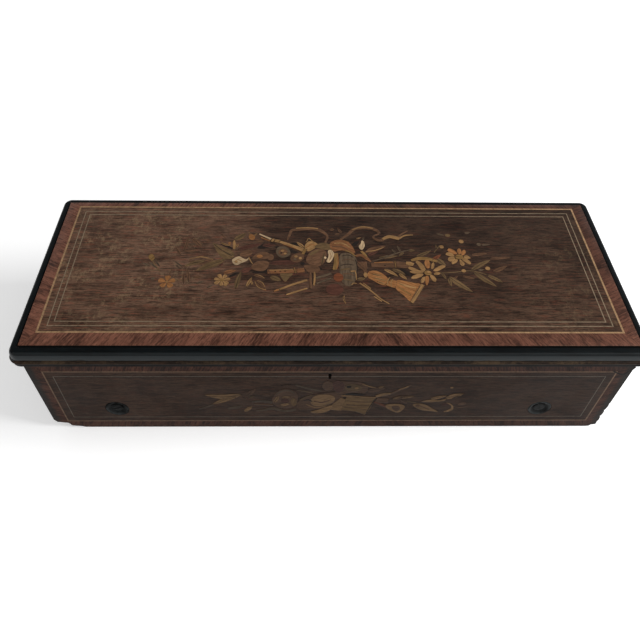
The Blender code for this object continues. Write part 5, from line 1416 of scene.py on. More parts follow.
LID_DRAWING = [
    # bud, twigs and the orange flower at the left
    "strip 0 olive -203.5,139,1.1 -197.5,128,1.3 -190,117,0.9",
    "blob 2 ochre -206,138.5 -207,143 -204.5,145.5 -201.5,144 -199.5,138.5 -202,134.5 0.9",
    "leaf 1 grey -194.5 122.5 -205.5 133.5 2.9", "leaf 1 grey -192 125.5 -198 135 2.2",
    "leaf 1 grey -203 126 -213 132.5 2.8", "disc 1 grey -196.5 106.5 2.2 2.4",
    "strip 0 walnut -180,107.5,1.5 -179,115,1.5 -177.5,122.5,1",
    "flower 3 orange -180.5 101.5 9.4 5 0.35 18 tan 1.3",
    "strip 0 olive -172,105,1.2 -164.5,104.5,1.3 -156.5,105,0.9", "leaf 1 walnut -162 98.5 -164 115.5 3.1",
    "leaf 1 walnut -156.5 101.5 -161 122.5 3.6 -0.4", "leaf 1 walnut -152.5 108.5 -143 109 4.6",
    "leaf 1 grey -148.5 99 -140 103 3.4", "leaf 1 grey -136 92.5 -129.5 97 2.7",
    "leaf 1 grey -155 94.5 -147.5 93 2.7", "leaf 1 grey -167 125.5 -177 134.5 2.6",
    "leaf 1 grey -168.5 122.5 -175 128.5 1.8", "leaf 1 walnut -149.5 150 -172.5 151 2.7",
    "leaf 1 walnut -185.5 153.5 -196 147.5 2.7", "leaf 0 walnut -168 151 -166 176.5 4.3 -0.7",
    "leaf 0 walnut -170 142.5 -179 159.5 3.7", "leaf 0 walnut -161 172.5 -148 157 6.4 0.8",
    "leaf 0 walnut -145 166.5 -136.5 170 3.4", "leaf 0 walnut -128 181 -121.5 172.5 2.3",
    # the large leaves
    "blob 1 olive -136,164.5 -128.5,160.5 -119.5,156 -112,150.5 -109.5,143 -114,138 -121,139 -127.5,145.5 -0.5",
    "strip 3 black -134.5,162.5,0.7 -123,151,0.9 -112,143,0.6 0.1",
    "strip 3 walnut -127,151,0.7 -118.5,153,0.7 0.1", "leaf 1 walnut -131 138 -162.5 135.5 7.6 5.2",
    "strip 3 tan -160.5,137,0.8 -151.5,140.5,1.4 -145,141,1.5 -133,137,1 0.1",
    "leaf 2 olive -142 135.5 -165 125.5 6.8 -0.8", "leaf 2 olive -120.5 135.5 -151 118.5 10.3 -0.8",
    "leaf 1 olive -118.5 138 -133 132 4.9", "leaf 1 maroon -122.5 132 -125.5 126 4.9",
    "leaf 3 tan -127.5 165.5 -114.5 159.5 2.9 -0.6", "leaf 2 black -126.5 162.5 -110.5 153.5 3.6 0.7",
    "disc 1 walnut -127 170.5 2.1 2.4", "disc 1 orange -116.5 164 1.6 2.4",
    "blob 3 tan -112.5,161.5 -112.5,167.5 -111,169.5 -110,166.5 -108.5,159.5 -109.5,154.5 -111.5,154.5 1.4",
    "leaf 2 tan -109 157 -105.5 163 2.4", "leaf 0 maroon -106 154 -78.5 164 6.7",
    "leaf 1 olive -111.5 170 -98.5 182.5 8.3 -0.9",
    "blob 3 orange -94.5,173.5 -94.5,179 -91,180 -87.5,176 -88,171 -91.5,170 0.4",
    "leaf 2 tan -93.5 179 -95.5 184 1.6", "leaf 2 tan -89 176 -85 182.5 1.9",
    "leaf 1 walnut -87 169 -76.5 167.5 5.1", "leaf 1 black -84 156.5 -62.5 164 7.5",
    "leaf 1 maroon -78.5 160 -63.5 162.5 5.8",
    # rosebud and star flower
    "blob 3 walnut -103.5,145.5 -99,152 -91.5,153 -89,147 -95,141.5 -101,141.5 0.3",
    "blob 4 ivory -111.5,136.5 -107,141 -103,142 -98.5,138.5 -95,137.5 -92.5,141.5 -94,135.5 -100.5,131.5 "
    "-105.5,128 -109.5,130 0.2",
    "strip 6 tan -109,132.5,0.8 -105,137,1.1 -100.5,134,0.7 0.1", "disc 6 tan -106.5 133 1.6 1.6",
    "strip 4 tan -93,140.5,1.6 -90.5,135,1.2 -88,130,0.9", "leaf 3 russet -120 115 -105.5 119.5 5.7 0.5",
    "leaf 1 maroon -100 117 -88.5 124 8.1", "leaf 2 black -114 108.5 -102 117 3.6",
    "leaf 1 black -88 116.5 -60 120 4.7", "flower 3 tan -120.5 104.5 9.5 7 0.25 12 ochre 2.1",
    "disc 6 tan -126.5 106.5 2.6 1.5", "disc 6 tan -116 97 2.1 2 -30", "leaf 1 olive -104.5 91 -100 118 5.9 0.6",
    "leaf 1 tan -93 94 -87.5 109.5 3.6", "leaf 1 tan -86 96.5 -89 105.5 2.3",
    "leaf 1 walnut -86 113 -73.5 107 4.5 0.6", "strip 3 tan -84.5,113,0.6 -78.5,111.5,0.9 -73.5,107.5,0.6 0.1",
    "leaf 2 walnut -84 103.5 -71 89.5 7.4",
    "strip 4 tan -84,103,0.6 -81.5,95.5,0.8 -76.5,91.5,1.1 -71,89.5,0.8 0.1",
    "strip 4 tan -81.5,104,0.9 -76,101,0.9 -72.5,94,0.8 0.1",
    "blob 2 walnut -89,138 -85.5,145.5 -78,149.5 -71,148.5 -69.5,141.5 -75.5,137.5 -82.5,138 0.1",
    "disc 4 orange -80.5 142.5 3.5 2.6",
    "blob 2 walnut -89.5,125 -84.5,133 -76.5,135 -69.5,132.5 -71,123.5 -76,118.5 -85,120 -0.3",
    "strip 4 walnut -86,127,0.9 -79.5,128.5,1.3 -72.5,128,1 0.1", "disc 2 walnut -68 141 3.9 5",
    "leaf 0 maroon -68.5 131.5 -34.5 133.5 8.2", "leaf 0 maroon -60 113.5 -27.5 115.5 5.6",
    # roses, flutes and rods
    "blob 3 grey -62,153 -59,158.5 -52,159 -46.5,153.5 -45.5,146 -50.5,141 -56.5,140.5 -61,146 0",
    "disc 5 walnut -54 149.5 5.3 6", "disc 6 tan -54.5 152 1.9 1.7", "disc 6 tan -51.5 147 1.6 1.7",
    "disc 6 black -56 148 1.1 1.3",
    "blob 3 walnut -45.5,138.5 -43,144.5 -36.5,148.5 -31,146.5 -30,139 -35,133.5 -42,133.5 0",
    "disc 5 tan -39 142.5 2.1 1.7", "disc 5 tan -34 139.5 1.8 2", "disc 5 grey -40 137.5 1.8 1.7",
    "leaf 1 black -64.5 159 -32 146.5 6.6", "leaf 1 black -46 165 -27.5 159 5.8",
    "strip 4 ivory -82.5,180.5,1.8 -75.5,176,2.5 -68.5,171.5,3.3",
    "strip 3 orange -80.5,174.5,1.6 -69.5,168.5,2.1 0.1", "strip 6 tan -68,170.5,5.9 -64.5,169,6.8",
    "strip 7 tan -64.5,169,4.8 -61.5,168.5,5.5 -58,167.5,5.5",
    "strip 4 tan -58.5,167.5,4 -43.5,160,5.2 -30,152.5,6.2", "strip 6 orange -54,163,1.2 -39,155.5,1.6 0.1",
    "strip 6 ochre -31.5,151.5,9 -27.5,150,10.9",
    "strip 4 russet -71,118,6.9 -55.5,118.5,7 -41,119,7.3 -29,120.5,7.3",
    "strip 6 walnut -69.5,118,6.8 -68.5,118.5,6.9 0.1", "strip 6 tan -41,119.5,8.9 -39,120,8.9",
    "strip 6 black -38,119.5,7.3 -37.5,119.5,7.3 0.1", "strip 6 tan -68,120,1.3 -53.5,120.5,1.4 -42,121.5,1.2 0.1",
    "disc 6 black -62 118 0.9 0.8", "disc 6 black -56.5 118.5 0.9 0.8", "disc 6 black -51 118.5 0.9 0.8",
    "blob 1 olive -56.5,115 -42.5,115 -46.5,108 -51,102 0", "leaf 1 olive -67.5 110.5 -55 103.5 7.4",
    "strip 4 orange -63,87.5,2.4 -57,90.5,3.2", "strip 3 tan -57,90.5,3.2 -42,98,3.5 -26,105,3.7",
    "strip 3 grey -17,107.5,3.4 -8.6,111,3.7 0.5,115.5,3.3",
    "strip 3 tan -49.5,82.5,2.4 -37.5,87.5,2.6 -26,92.5,2.6",
    "strip 3 grey -16.5,99.5,2.6 -7.6,103.5,2.8 0.7,108,3",
    # ribbons
    "strip 2 walnut -49.5,170.5,2.9 -47,179,3.7 -44.5,187,4.3 -37,189,5.3 -25,190.5,6.1 -14,189,5.7 "
    "-6.4,183.5,4.6 -2.1,176,3.2 -5.2,165.5,3.2",
    "strip 4 tan -39.5,191,1.6 -25,192,2 -13,190.5,1.8 0.1",
    "strip 2 walnut 12.5,171,3.4 21.5,179.5,4.3 29.5,189.5,5 38.5,192.5,5.8 49.5,192,5.8 57,187.5,4.8 60,182,3.9",
    "strip 4 tan 27.5,188.5,1.5 40,194,2.2 53,191.5,1.8 0.1",
    "strip 3 walnut 59.5,181.5,3 53.5,178.5,2.7 52.5,174.5,3.4 57.5,170.5,4.5 64.5,171,4.8",
    "strip 4 tan 62.5,172,4.3 70,176.5,5.6 77,175.5,6 83,173,5.3",
    "strip 3 walnut 80.5,175.5,2.8 87,182,2.5 94,187,1.6", "strip 3 tan 82,173.5,3 90,179,2.4 100,180,1.4",
    "leaf 1 walnut 15 182.5 10.5 191.5 3.5", "leaf 1 walnut 6.2 190 0.6 188 4.2",
    "leaf 1 walnut 13 180.5 6.6 181 3.9",
    # the bag
    "blob 4 olive -17.5,159 -11,165 -2.8,164.5 2.9,159.5 1.5,153.5 -6.6,154 -13.5,156 0.2",
    "blob 3 tan -29,160 -25,167.5 -19,168 -13.5,162.5 -17.5,156 -24,151 -28,153.5 0.6",
    "strip 5 tan -27.5,166,0.8 -24.5,173.5,1.1 0.1", "strip 5 tan -24,173.5,1.3 -18,166,1 0.1",
    "strip 5 orange -27.5,157,1.1 -21.5,162.5,1.5 -16,161,1 0.1", "leaf 3 tan -29.5 157 -38.5 167 4.5",
    "blob 4 walnut -27,140 -23.5,148.5 -16,154.5 -7.7,154 -3.9,148.5 -5.1,137 -9.4,129 -17.5,125.5 -23.5,129.5 "
    "-27,133.5 0.3",
    "blob 6 olive -24.5,144.5 -19.5,151 -11.7,154 -15,149 -20.5,144.5 0.5",
    "blob 5 walnut -19.5,142 -13,143.5 -10.4,137 -14.5,130.5 -20,132.5 0.3", "leaf 6 olive -9.8 129 -6 150 3",
    "blob 7 ivory -2,152 2.2,153 5,147 2.9,138.5 -0.7,132.5 -4.3,134.5 -1.8,142 1.3",
    "strip 9 tan 0.2,148.5,0.5 1.2,142.5,0.7 -0.8,136,0.7 0.1", "disc 7 ivory -5.5 140.5 1.4 2",
    "disc 6 black -31.5 131 2.5 2.3", "disc 6 black -10.8 122.5 1.2 1.6",
    "blob 5 walnut -30,127 -24,129 -15,127.5 -11.3,120 -18,115 -25.5,117.5 0.1",
    "strip 7 walnut -27.5,124,0.9 -21,122.5,1.1 -14,121.5,1 0.1",
    "strip 6 walnut -22.5,117.5,2.2 -22.5,105,3.5 -22.5,91.5,2.9",
    "strip 6 tan -18,117.5,1.8 -18,106.5,2.4 -19,96.5,1.8", "strip 8 black -20,116,0.5 -20,99,0.6 0.1",
    # curls and the striped body
    "blob 5 russet 0.2,164 7.9,170.5 16,170.5 24.5,164 29.5,148.5 22,149.5 14,153 3.8,151 -0.4",
    "strip 7 tan 5.4,164.5,1.6 15,165,2 23.5,158,1.7 0.1",
    "strip 7 walnut 2.8,158.5,1.3 12,159.5,1.5 21,154.5,1.1 0.1",
    "strip 7 ochre 17.5,152.5,1.7 24,149.5,2.2 29.5,143,1.2 0.1", "leaf 6 orange 14.5 169 24 166.5 2.4",
    "strip 4 ochre 6.7,148.5,5.8 6.7,133.5,5.7 4.4,121,5.2",
    "strip 6 orange 8.9,145,1 9.1,132,1.2 7.2,122.5,0.9 0.1",
    "blob 5 grey 10.8,142 15,148 23.5,147.5 30,139.5 30.5,124 28,107 22.5,96 15.5,97 11.3,106 10.1,121 1.5",
    "strip 7 black 14,143.5,1 21,145,1.1 27,141,0.9 0.1", "strip 7 walnut 13.5,136,0.8 20.5,138,1 27,136,0.8 0.1",
    "strip 7 black 12,128,0.8 19,130,1.2 26.5,128.5,0.8 0.1",
    "strip 7 olive 11.6,121,2.2 20,122.5,2.5 22,122,1.9 0.1",
    "strip 7 walnut 13,114.5,1.2 20.5,114.5,1.4 27,111.5,1.1 0.1",
    "strip 7 olive 14.5,106,1.6 21,104.5,1.7 25.5,103,1.2 0.1",
    "strip 7 black 29,137.5,1 30.5,124,1 28,106,0.7 0.1", "strip 8 tan 22.5,118.5,2.1 28.5,119,2 0.2",
    "strip 8 tan 27.5,120,1.1 28.5,113,1.1 28.5,105,0.6 0.1", "strip 8 tan 22.5,97.5,1 25,100,1.5 28.5,99.5,1 0.1",
    "blob 6 ivory 36.5,164 38,169.5 40.5,167.5 41,160.5 38,154 35,155.5 34,160 1.5",
    "leaf 4 tan 31.5 172.5 37.5 175 2.2", "leaf 4 grey 38.5 169 41.5 177 2.2", "leaf 3 black 26.5 160.5 35 169 5.2",
    "disc 7 red 8.5 109 5.6 6.5", "disc 6 maroon 3.7 90.5 9.7 8.5", "leaf 2 tan 12 81.5 15 70 1.7",
    "strip 1 tan 14,81.5,0.9 13,75.5,1.1 15,70,0.9 0.1",
    "strip 3 tan 31.5,100.5,1.8 39.5,93,2.2 46.5,85,2 53.5,76.5,1.8 62,69.5,1.2",
    "strip 3 tan 35.5,100.5,1 43.5,92,1.3 0.1", "strip 3 tan 46,80.5,1.1 54,73,1.3 0.1",
    # curls, pipe and horn at the right
    "strip 5 russet 29.5,143.5,3.3 36,144.5,4.9 42,139.5,4.6 46.5,134,2.1",
    "strip 6 ochre 36,152,3.7 39.5,147,3.9 42.5,141.5,2.3", "leaf 4 walnut 30.5 134 40 119.5 7.2",
    "leaf 4 olive 29 106 38.5 107.5 5.3", "strip 4 walnut 35,134,4 38.5,124,5 39,114.5,3.9",
    "blob 2 walnut 40.5,149.5 46,156.5 54,159.5 65.5,160.5 59,154.5 51,150.5 45.5,149 0.3",
    "strip 4 tan 42,151,0.8 52.5,153,1.3 63.5,158.5,0.8 0.1", "leaf 1 maroon 43 144.5 56 151.5 4.8",
    "strip 2 grey 48,135,1.7 63,141,1.9 77.5,148.5,1.9 94.5,155,1.1", "disc 4 grey 65.5 143 2.3 2.2",
    "leaf 1 grey 76.5 148.5 72 155.5 2.7", "leaf 1 grey 82.5 150 79 162 2.5", "leaf 1 olive 86 150.5 79 143.5 2.9",
    "leaf 1 olive 91 153 99 153.5 4.3", "leaf 1 olive 99 143 118 153.5 4.7 -0.6",
    "leaf 0 olive 55 140.5 78.5 144 4.9", "strip 3 walnut 46,129,7.5 61,129.5,9.4 76,130,10.2 90,128.5,10.7",
    "strip 5 orange 50,132.5,1.6 63.5,133.5,1.9 71.5,133.5,1.6 0.1", "strip 6 tan 73,130,10.3 75,130,10.7",
    "strip 5 tan 86,132.5,5 91,131,6.9 95,129.5,4.9", "disc 6 black 62 128 0.9 0.9",
    "strip 2 ochre 92.5,136.5,4.1 103.5,140,5.6 114.5,138.5,5.7 123,134.5,3.6", "leaf 2 red 117 137 128.5 146.5 5",
    "leaf 1 olive 122 140 131.5 128.5 7", "leaf 1 black 78.5 123.5 91 110 7",
    "leaf 5 tan 60 122.5 75.5 110.5 4.7 0.7", "leaf 5 olive 69.5 122.5 84 113.5 5.3 0.6",
    "leaf 5 tan 76.5 115.5 85 106 4.6", "strip 4 walnut 39.5,134,4.3 39.5,122.5,5.1 0.3",
    "disc 6 tan 39 113 2.2 4.1",
    "blob 5 orange 42,117 49,120 56,117 62,110.5 64,104 61.5,97 54.5,98.5 47.5,104 41.5,109 -0.4",
    "leaf 7 tan 46 114.5 59.5 110.5 2.8", "leaf 7 tan 48 108.5 62.5 104 3.1", "leaf 7 tan 51 103 60.5 98.5 2.4",
    "strip 7 tan 62,97,1.1 63.5,105,1.3 66,109.5,1 0.1", "strip 7 tan 66.5,94.5,1.1 66.5,101.5,1.3 69,106.5,1 0.1",
    "strip 6 orange 63,102.5,11.4 66.5,100,11.6 72,98.5,12",
    "blob 5 orange 73,104.5 81,104 91,101 99.5,98.5 95,88.5 87.5,76 84,73.5 78.5,82 71,92 -0.5",
    "strip 7 tan 75.5,100,2.2 83.5,96,2.8 93.5,93,2.2 0.1",
    "strip 7 ochre 74.5,94.5,1.5 80.5,88.5,1.7 86.5,82.5,1.3 0.1",
    "strip 7 tan 101.5,98.5,4.4 94,85.5,5.3 86,71,4.2", "strip 9 walnut 98,95.5,0.8 91.5,84,1 85.5,74,0.8 0.1",
    # daisies, buds and leaves at the right
    "blob 4 tan 105.5,120.5 100.5,120.5 94.5,124.5 89.5,126.5 88.5,123 94,119 100.5,117.5 -0.2",
    "blob 5 tan 103.5,118.5 99.5,129.5 97.5,134 100.5,136 105.5,130 107.5,122 -0.8",
    "blob 4 orange 109,124 107.5,131 109,137 112.5,137 114,131.5 112.5,125 1.5",
    "blob 5 tan 114,123.5 115.5,130.5 118,133.5 118.5,128.5 116,123 1.3",
    "blob 4 tan 116,120.5 121,125.5 127.5,129 131,127 125,122 119.5,119 0.2",
    "blob 5 tan 116.5,116 120,118 123.5,116.5 121,113.5 116.5,113.5 0",
    "blob 4 tan 111,112 114,113.5 117.5,108 116.5,103 113,104.5 -0.9",
    "blob 5 orange 106,111 109.5,111 109,104 106,97 104.5,101.5 1.5",
    "blob 4 tan 103,110 106,109.5 103.5,102.5 100,100.5 100,104.5 1.2",
    "blob 5 tan 104,115 102,111 95.5,107.5 90,107.5 91.5,111.5 98,115 0.3",
    "blob 4 tan 105.5,118 99.5,118.5 90.5,119.5 90,117 97,115 0", "disc 7 ochre 109.5 116.5 4.1 3.8",
    "disc 9 tan 110.5 118 1.9 1.6",
    "blob 4 orange 145.5,147 140.5,148 137,153.5 140,157 145,153.5 147.5,148.5 -0.6",
    "blob 5 tan 144,143.5 138.5,143.5 134,146.5 136,150 141,149 -0.3",
    "blob 4 tan 144,140.5 139.5,135 135.5,136.5 136.5,141.5 141,143 0.3",
    "blob 5 tan 146.5,138.5 144.5,133.5 139.5,130.5 139,134.5 143,139 0.8",
    "blob 4 tan 148.5,137.5 151,137.5 153.5,132 151.5,128 148.5,130 -1.2",
    "blob 5 tan 154,141.5 158,138.5 161,133 158.5,130 154.5,134 151.5,138.5 -0.7",
    "blob 4 tan 155,144.5 159,145 162,141 159,139.5 155,140.5 -0.2",
    "blob 5 orange 152,146.5 153.5,152 157,154.5 158,150.5 154.5,145.5 1",
    "blob 4 orange 148.5,148 148.5,154.5 151.5,157 153,152.5 151.5,147.5 1.5", "disc 7 ochre 149 142.5 4.7 4",
    "strip 0 olive 121,150,1 125.5,156.5,1.2 129,162,0.9", "disc 3 tan 131 159.5 2.5 2.8",
    "leaf 2 olive 125 155.5 124.5 163.5 1.8", "disc 3 tan 155.5 169 2.9 3.2", "disc 3 tan 150.5 120 2.5 2.6",
    "disc 3 tan 178.5 124 2.7 2.9", "disc 2 olive 141 179.5 3.2 2.5", "leaf 1 grey 127.5 183 137 179.5 2.9",
    "disc 2 grey 175.5 164 2.6 2.6", "leaf 1 grey 178 163 189 164 3.1", "leaf 1 grey 161.5 183.5 169 185 3.2",
    "leaf 1 olive 159 121 184.5 138 6.7 0.6", "leaf 2 olive 161.5 119 183.5 95.5 7.2 -1.1",
    "leaf 1 olive 176 113.5 191.5 102 5.5", "leaf 1 olive 132 111 155.5 87 7.7 -0.9",
    "leaf 1 olive 132 109 133 95.5 4.1", "leaf 1 olive 125 117 129 106.5 3.5",
    "strip 0 olive 123,116.5,1.2 140.5,118,1.3 159,120,1.3 175,114.5,1.2", "leaf 1 grey 167 120.5 174 122.5 3.1",
    "leaf 0 walnut 163.5 146 182.5 148.5 5", "leaf 0 walnut 183 140 209 142 4.1",
    "leaf 0 walnut 132.5 104 143 112 3.5", "leaf 0 walnut 183.5 118.5 201.5 128 5.9",
    "leaf 0 walnut 147.5 112 161 107.5 3.9",
]

FRONT_DRAWING = [
    # leaves and rosette at the left
    "leaf 2 tan -98 68.5 -140 68 10.7 4.4", "leaf 3 tan -105 64 -133.5 48.5 7.7 -0.7",
    "strip 2 grey -132,48.5,3.5 -141,43,3.2 -149,39.5,2.5", "leaf 1 black -105 65 -129.5 64 4.8",
    "leaf 1 walnut -94 65.5 -82 80 6.7", "leaf 1 walnut -97 67.5 -90 75 4.4", "disc 1 walnut -89 70.5 2.9 3.5",
    "leaf 1 walnut -97.5 63.5 -93.5 58 4", "leaf 1 olive -92 61.5 -84 66 4.1", "leaf 1 walnut -147 56 -142 53.5 4",
    "blob 2 grey -116,42 -110,44.5 -104.5,46 -99.5,47 -102.5,41.5 -109.5,39.5 -115,39 0.1",
    "blob 2 tan -98,36.5 -95,41.5 -91,44 -88,45 -90.5,38 -95,33.5 -97.5,33.5 0.5",
    "strip 1 grey -88,54,3.2 -76.5,55.5,4.4 -65.5,52.5,5.2",
    "strip 1 walnut -86,48.5,2.9 -75,47.5,3.4 -64.5,47,2.9", "leaf 1 walnut -76 67.5 -66 66.5 5.2",
    "strip 2 grey -84.5,35.5,2.1 -75.5,36.5,3.8 -68.5,40,5 -60.5,39,5.4 -53.5,35,4.2 -45.5,35.5,4.6 -38.5,39,3.3",
    "blob 2 walnut -65.5,57.5 -61.5,70 -55,78 -46,79 -39,73 -36.5,63.5 -38.5,49 -45.5,42 -55.5,41.5 -62.5,47 0.2",
    "strip 4 grey -60.5,68,1.8 -54,75,2.7 -45,75.5,2.3 -39.5,70,1.6 0.1", "leaf 4 tan -63.5 52 -57.5 66 5",
    "leaf 4 tan -55 62 -44 64 5.2", "leaf 4 tan -57 46 -45.5 50 5.7", "disc 5 maroon -51 56 4.5 5.3",
    "blob 6 ochre -44.5,57.5 -42,62 -38.5,58 -38,49 -41.5,45 -44,49 1.4",
    "strip 2 grey -38.5,86.5,2.2 -27.5,81.5,3.2 -18.5,78,3 -9.8,75,1.9",
    "strip 1 olive -37.5,77,1.5 -27.5,74,1.9 -19.5,71,1.4 0.1", "leaf 1 walnut -54.5 85 -42.5 87 3",
    # shell, sheet and figure in the middle
    "blob 3 walnut -38,49 -33,58 -25,64.5 -16.5,69 -5.3,72 7.9,74 17,71 11.9,59 2.2,49 -8.9,40 -22.5,37.5 "
    "-34,37.5 0.2",
    "blob 4 tan -21.5,59 -16.5,66.5 -6.3,69 3.8,65 4.2,55 -4.6,47 -16,45 -21.5,50 0.2",
    "strip 6 black -30,56,1.2 -25,58,2 -20.5,54,1.1 0.1",
    "strip 6 olive -34.5,57,1.9 -27.5,63.5,2.3 -20.5,67,1.5 0.1",
    "strip 6 maroon -18.5,55,1.4 -9.2,52.5,1.8 0.7,58,1.2 0.1",
    "strip 6 tan -27.5,49,1.7 -16,42,2.1 -4.5,45.5,1.6 0.1",
    "blob 3 walnut -9.7,86.5 -7,93.5 -1.7,94 1.8,88.5 1.7,79.5 -4.4,76 -8.9,81 0.4",
    "blob 5 tan -22,33.5 -13.5,37.5 -5.6,43 2.2,47.5 1.4,38.5 -6.4,31.5 -18,30 0.2",
    "outline 5 tan -4.3,38.5 11.7,62.5 19,58 13,35 0.3",
    "outline 6 ochre 18,65 30.5,62.5 50.5,62 46,40.5 41,27 29,34 13,37 0",
    "strip 8 walnut 19,56,1 33.5,53,1.2 47,54,1 0.1", "strip 8 walnut 18,49,1.1 32,45.5,1.2 45,46,1 0.1",
    "strip 8 walnut 16,42,1 30,39.5,1 42.5,37,1 0.1", "strip 8 black 42,31,0.8 46.5,47,1.1 49.5,59,0.8 0.1",
    "strip 7 tan 12,66,2 24,65,2.6 39.5,63,2.4 51,62.5,1.8 0.1",
    "blob 3 maroon 1.7,91 6.9,95.5 13.5,89.5 13,77 7.9,72 3.2,79 0.6",
    "blob 3 walnut 8.1,92.5 17.5,94 28.5,93 37.5,88.5 40.5,79 37,71 23.5,72.5 12.5,71 0",
    "blob 5 olive 16,86.5 24.5,88.5 33.5,84.5 32,77 23.5,74.5 16.5,78 0.1", "disc 6 black 19.5 83.5 2.7 2.3",
    "disc 6 tan 28 81 2.2 2.4", "strip 4 tan 33.5,88.5,1.4 42.5,83.5,1.9 49,81.5,1.4 0.1",
    "leaf 3 walnut 39 74 60 81 8.6", "leaf 4 tan 51.5 80 58 85.5 3.7", "leaf 3 black 12.5 68 39 68.5 5.1",
    # horn and leaves at the right
    "strip 3 tan 50.5,64,4.7 58,68,5.5 67,70,3.2", "strip 4 walnut 51.5,58,8 58,56.5,10.1 65.5,56,9.4",
    "strip 4 red 49.5,53,3.4 58,48,4.3 65.5,42.5,3.4",
    "blob 4 tan 63.5,47.5 71.5,49.5 79.5,49 85.5,44.5 83.5,36 78.5,31 70.5,35.5 65,41 -0.3",
    "blob 6 walnut 71,44.5 77.5,45.5 80.5,39.5 77.5,34 72,38.5 -0.3",
    "strip 2 walnut 57.5,64.5,2.4 67,70,3.2 75,77,3.4 82,81.5,3.4 87,87.5,2.2",
    "strip 3 tan 74.5,77.5,1.5 84.5,84,1.9 0.1", "leaf 2 walnut 68.5 60 93.5 64 8.1 0.8",
    "leaf 3 tan 69 59 79.5 65 3.5", "leaf 3 tan 79 61 94 65 3.7", "leaf 2 walnut 79 58 87.5 50 5",
    "strip 0 olive 83,55,1.4 90,53.5,1.9 97.5,51,1.5",
    "blob 2 tan 94,47.5 98,50 107,49 116,41.5 125.5,32.5 117,34 106.5,36 98.5,41.5 -0.3",
    "disc 4 walnut 100 45.5 2.5 2.6", "strip 4 walnut 103,44.5,1.2 114.5,37.5,1.4 0.1",
    "blob 2 tan 102.5,54 112,58 123.5,57 130,60 128.5,55.5 117.5,53 108.5,53 0.1", "leaf 3 tan 112 59 130 66 6.2",
    "leaf 2 tan 129 60 148.5 70 8.9 0.6", "leaf 3 walnut 136.5 60 144.5 66 3.2",
    "strip 2 tan 132.5,51.5,1.6 138.5,46.5,2.1 140.5,39.5,3.1 137.5,35,4.3 132,32.5,2.2",
    "leaf 1 maroon 125.5 47.5 138.5 49.5 6.4", "blob 2 walnut 145.5,48.5 148.5,52 154,52.5 154,48 148.5,46.5 0.1",
    "strip 0 walnut 140.5,44.5,1.6 149.5,41.5,1.9 158,44.5,1.2", "disc 2 tan 132.5 81.5 1.8 1.7",
    "strip 1 black 299,112.5,1.2 311.5,106,2.5 317,111.5,2.7 321,119.5,1.7 0.1",
]


class LidMarquetry(bpy.types.Operator):
    """Lays the trophy of instruments, flowers and ribbons in the lid"""

    bl_idname = "music_box.lid_marquetry"
    bl_label = "Lid Marquetry"

    def execute(self, context):
        inlay = Inlay(seed=7)
        draw(inlay, LID_DRAWING)
        place = Matrix.Translation((0, LID_FRONT, LID_HIGH.z))
        inlay.finish("lid_marquetry", place, "lid", "rosewood_lid")
        return {"FINISHED"}


class FrontMarquetry(bpy.types.Operator):
    """Lays the smaller trophy in the front"""

    bl_idname = "music_box.front_marquetry"
    bl_label = "Front Marquetry"

    def execute(self, context):
        # the front's pieces take the dim woods: painted shade
        inlay = Inlay(seed=11, shade="dim ")
        draw(inlay, FRONT_DRAWING)
        place = Matrix.Translation((0, FRONT_LOW.y, 0)) @ Matrix.Rotation(QUARTER, 4, "X")
        inlay.finish("front_marquetry", place, "case", "rosewood_front")
        return {"FINISHED"}


# The works


CYLINDER_RADIUS, CYLINDER_BORE = 26 * MM, 7.2 * MM
COMB_TEETH, COMB_SCREWS = 72, 7
TUNE_SEED = 23
TUNE_STEPS = (-1.0, -0.6, -0.2, 0.2, 0.6, 1.0)  # where each tune's pins stand beside a tooth, in millimetres
PIN_FOOT, PIN_TIP = 0.16 * MM, 0.12 * MM


class MusicCylinder(bpy.types.Operator):
    """Turns the brass cylinder and sets its tune pins"""

    bl_idname = "music_box.music_cylinder"
    bl_label = "Music Cylinder"

    def execute(self, context):
        sizes = context.scene.music_box_sizes
        low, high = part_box("music_cylinder")
        axis = middle_of("music_cylinder")
        length = high.x - low.x
        profile = [(CYLINDER_BORE, 0.0), (CYLINDER_BORE, 3 * MM), (CYLINDER_RADIUS - 6 * MM, 3 * MM)]
        profile += [(CYLINDER_RADIUS - 3 * MM, 0.6 * MM), (CYLINDER_RADIUS - 1.2 * MM, 0.0)]
        profile += [(CYLINDER_RADIUS, 0.4 * MM)]
        far = [(r, length - along) for r, along in reversed(profile)]
        bm = bmesh.new()
        turned(bm, profile + far + profile[:1], (low.x, axis.y, axis.z), (1, 0, 0), 96)
        body = body_of_node("music_cylinder")
        hand_over("pinned_cylinder", bm, ["cylinder brass"], body, ("music_cylinder",))
        self.pins(sizes, axis, body)
        return {"FINISHED"}

    def pins(self, sizes, axis, body):
        """Sets pins in the path of each tooth, each turned to its own place in the tune."""
        luck = random.Random(TUNE_SEED)
        bm = bmesh.new()
        low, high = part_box("comb")
        pitch = (high.x - low.x) / COMB_TEETH
        for tooth in range(COMB_TEETH):
            row = bmesh.new()
            for _ in range(sizes.pins_per_tooth):
                turn = luck.random() * math.tau
                x = low.x + pitch * (tooth + 0.5) + luck.choice(TUNE_STEPS) * MM
                aim = Vector((0, math.cos(turn), math.sin(turn)))
                place = Vector((x, axis.y, axis.z)) + aim * (CYLINDER_RADIUS + sizes.pin_length / 2 - 0.1 * MM)
                bmesh.ops.create_cone(
                    row, cap_ends=True, segments=4, radius1=PIN_FOOT, radius2=PIN_TIP,
                    depth=sizes.pin_length + 0.2 * MM, matrix=facing(place, aim),
                )
            pour(row, bm)
        hand_over("tune_pins", bm, ["steel"], body)


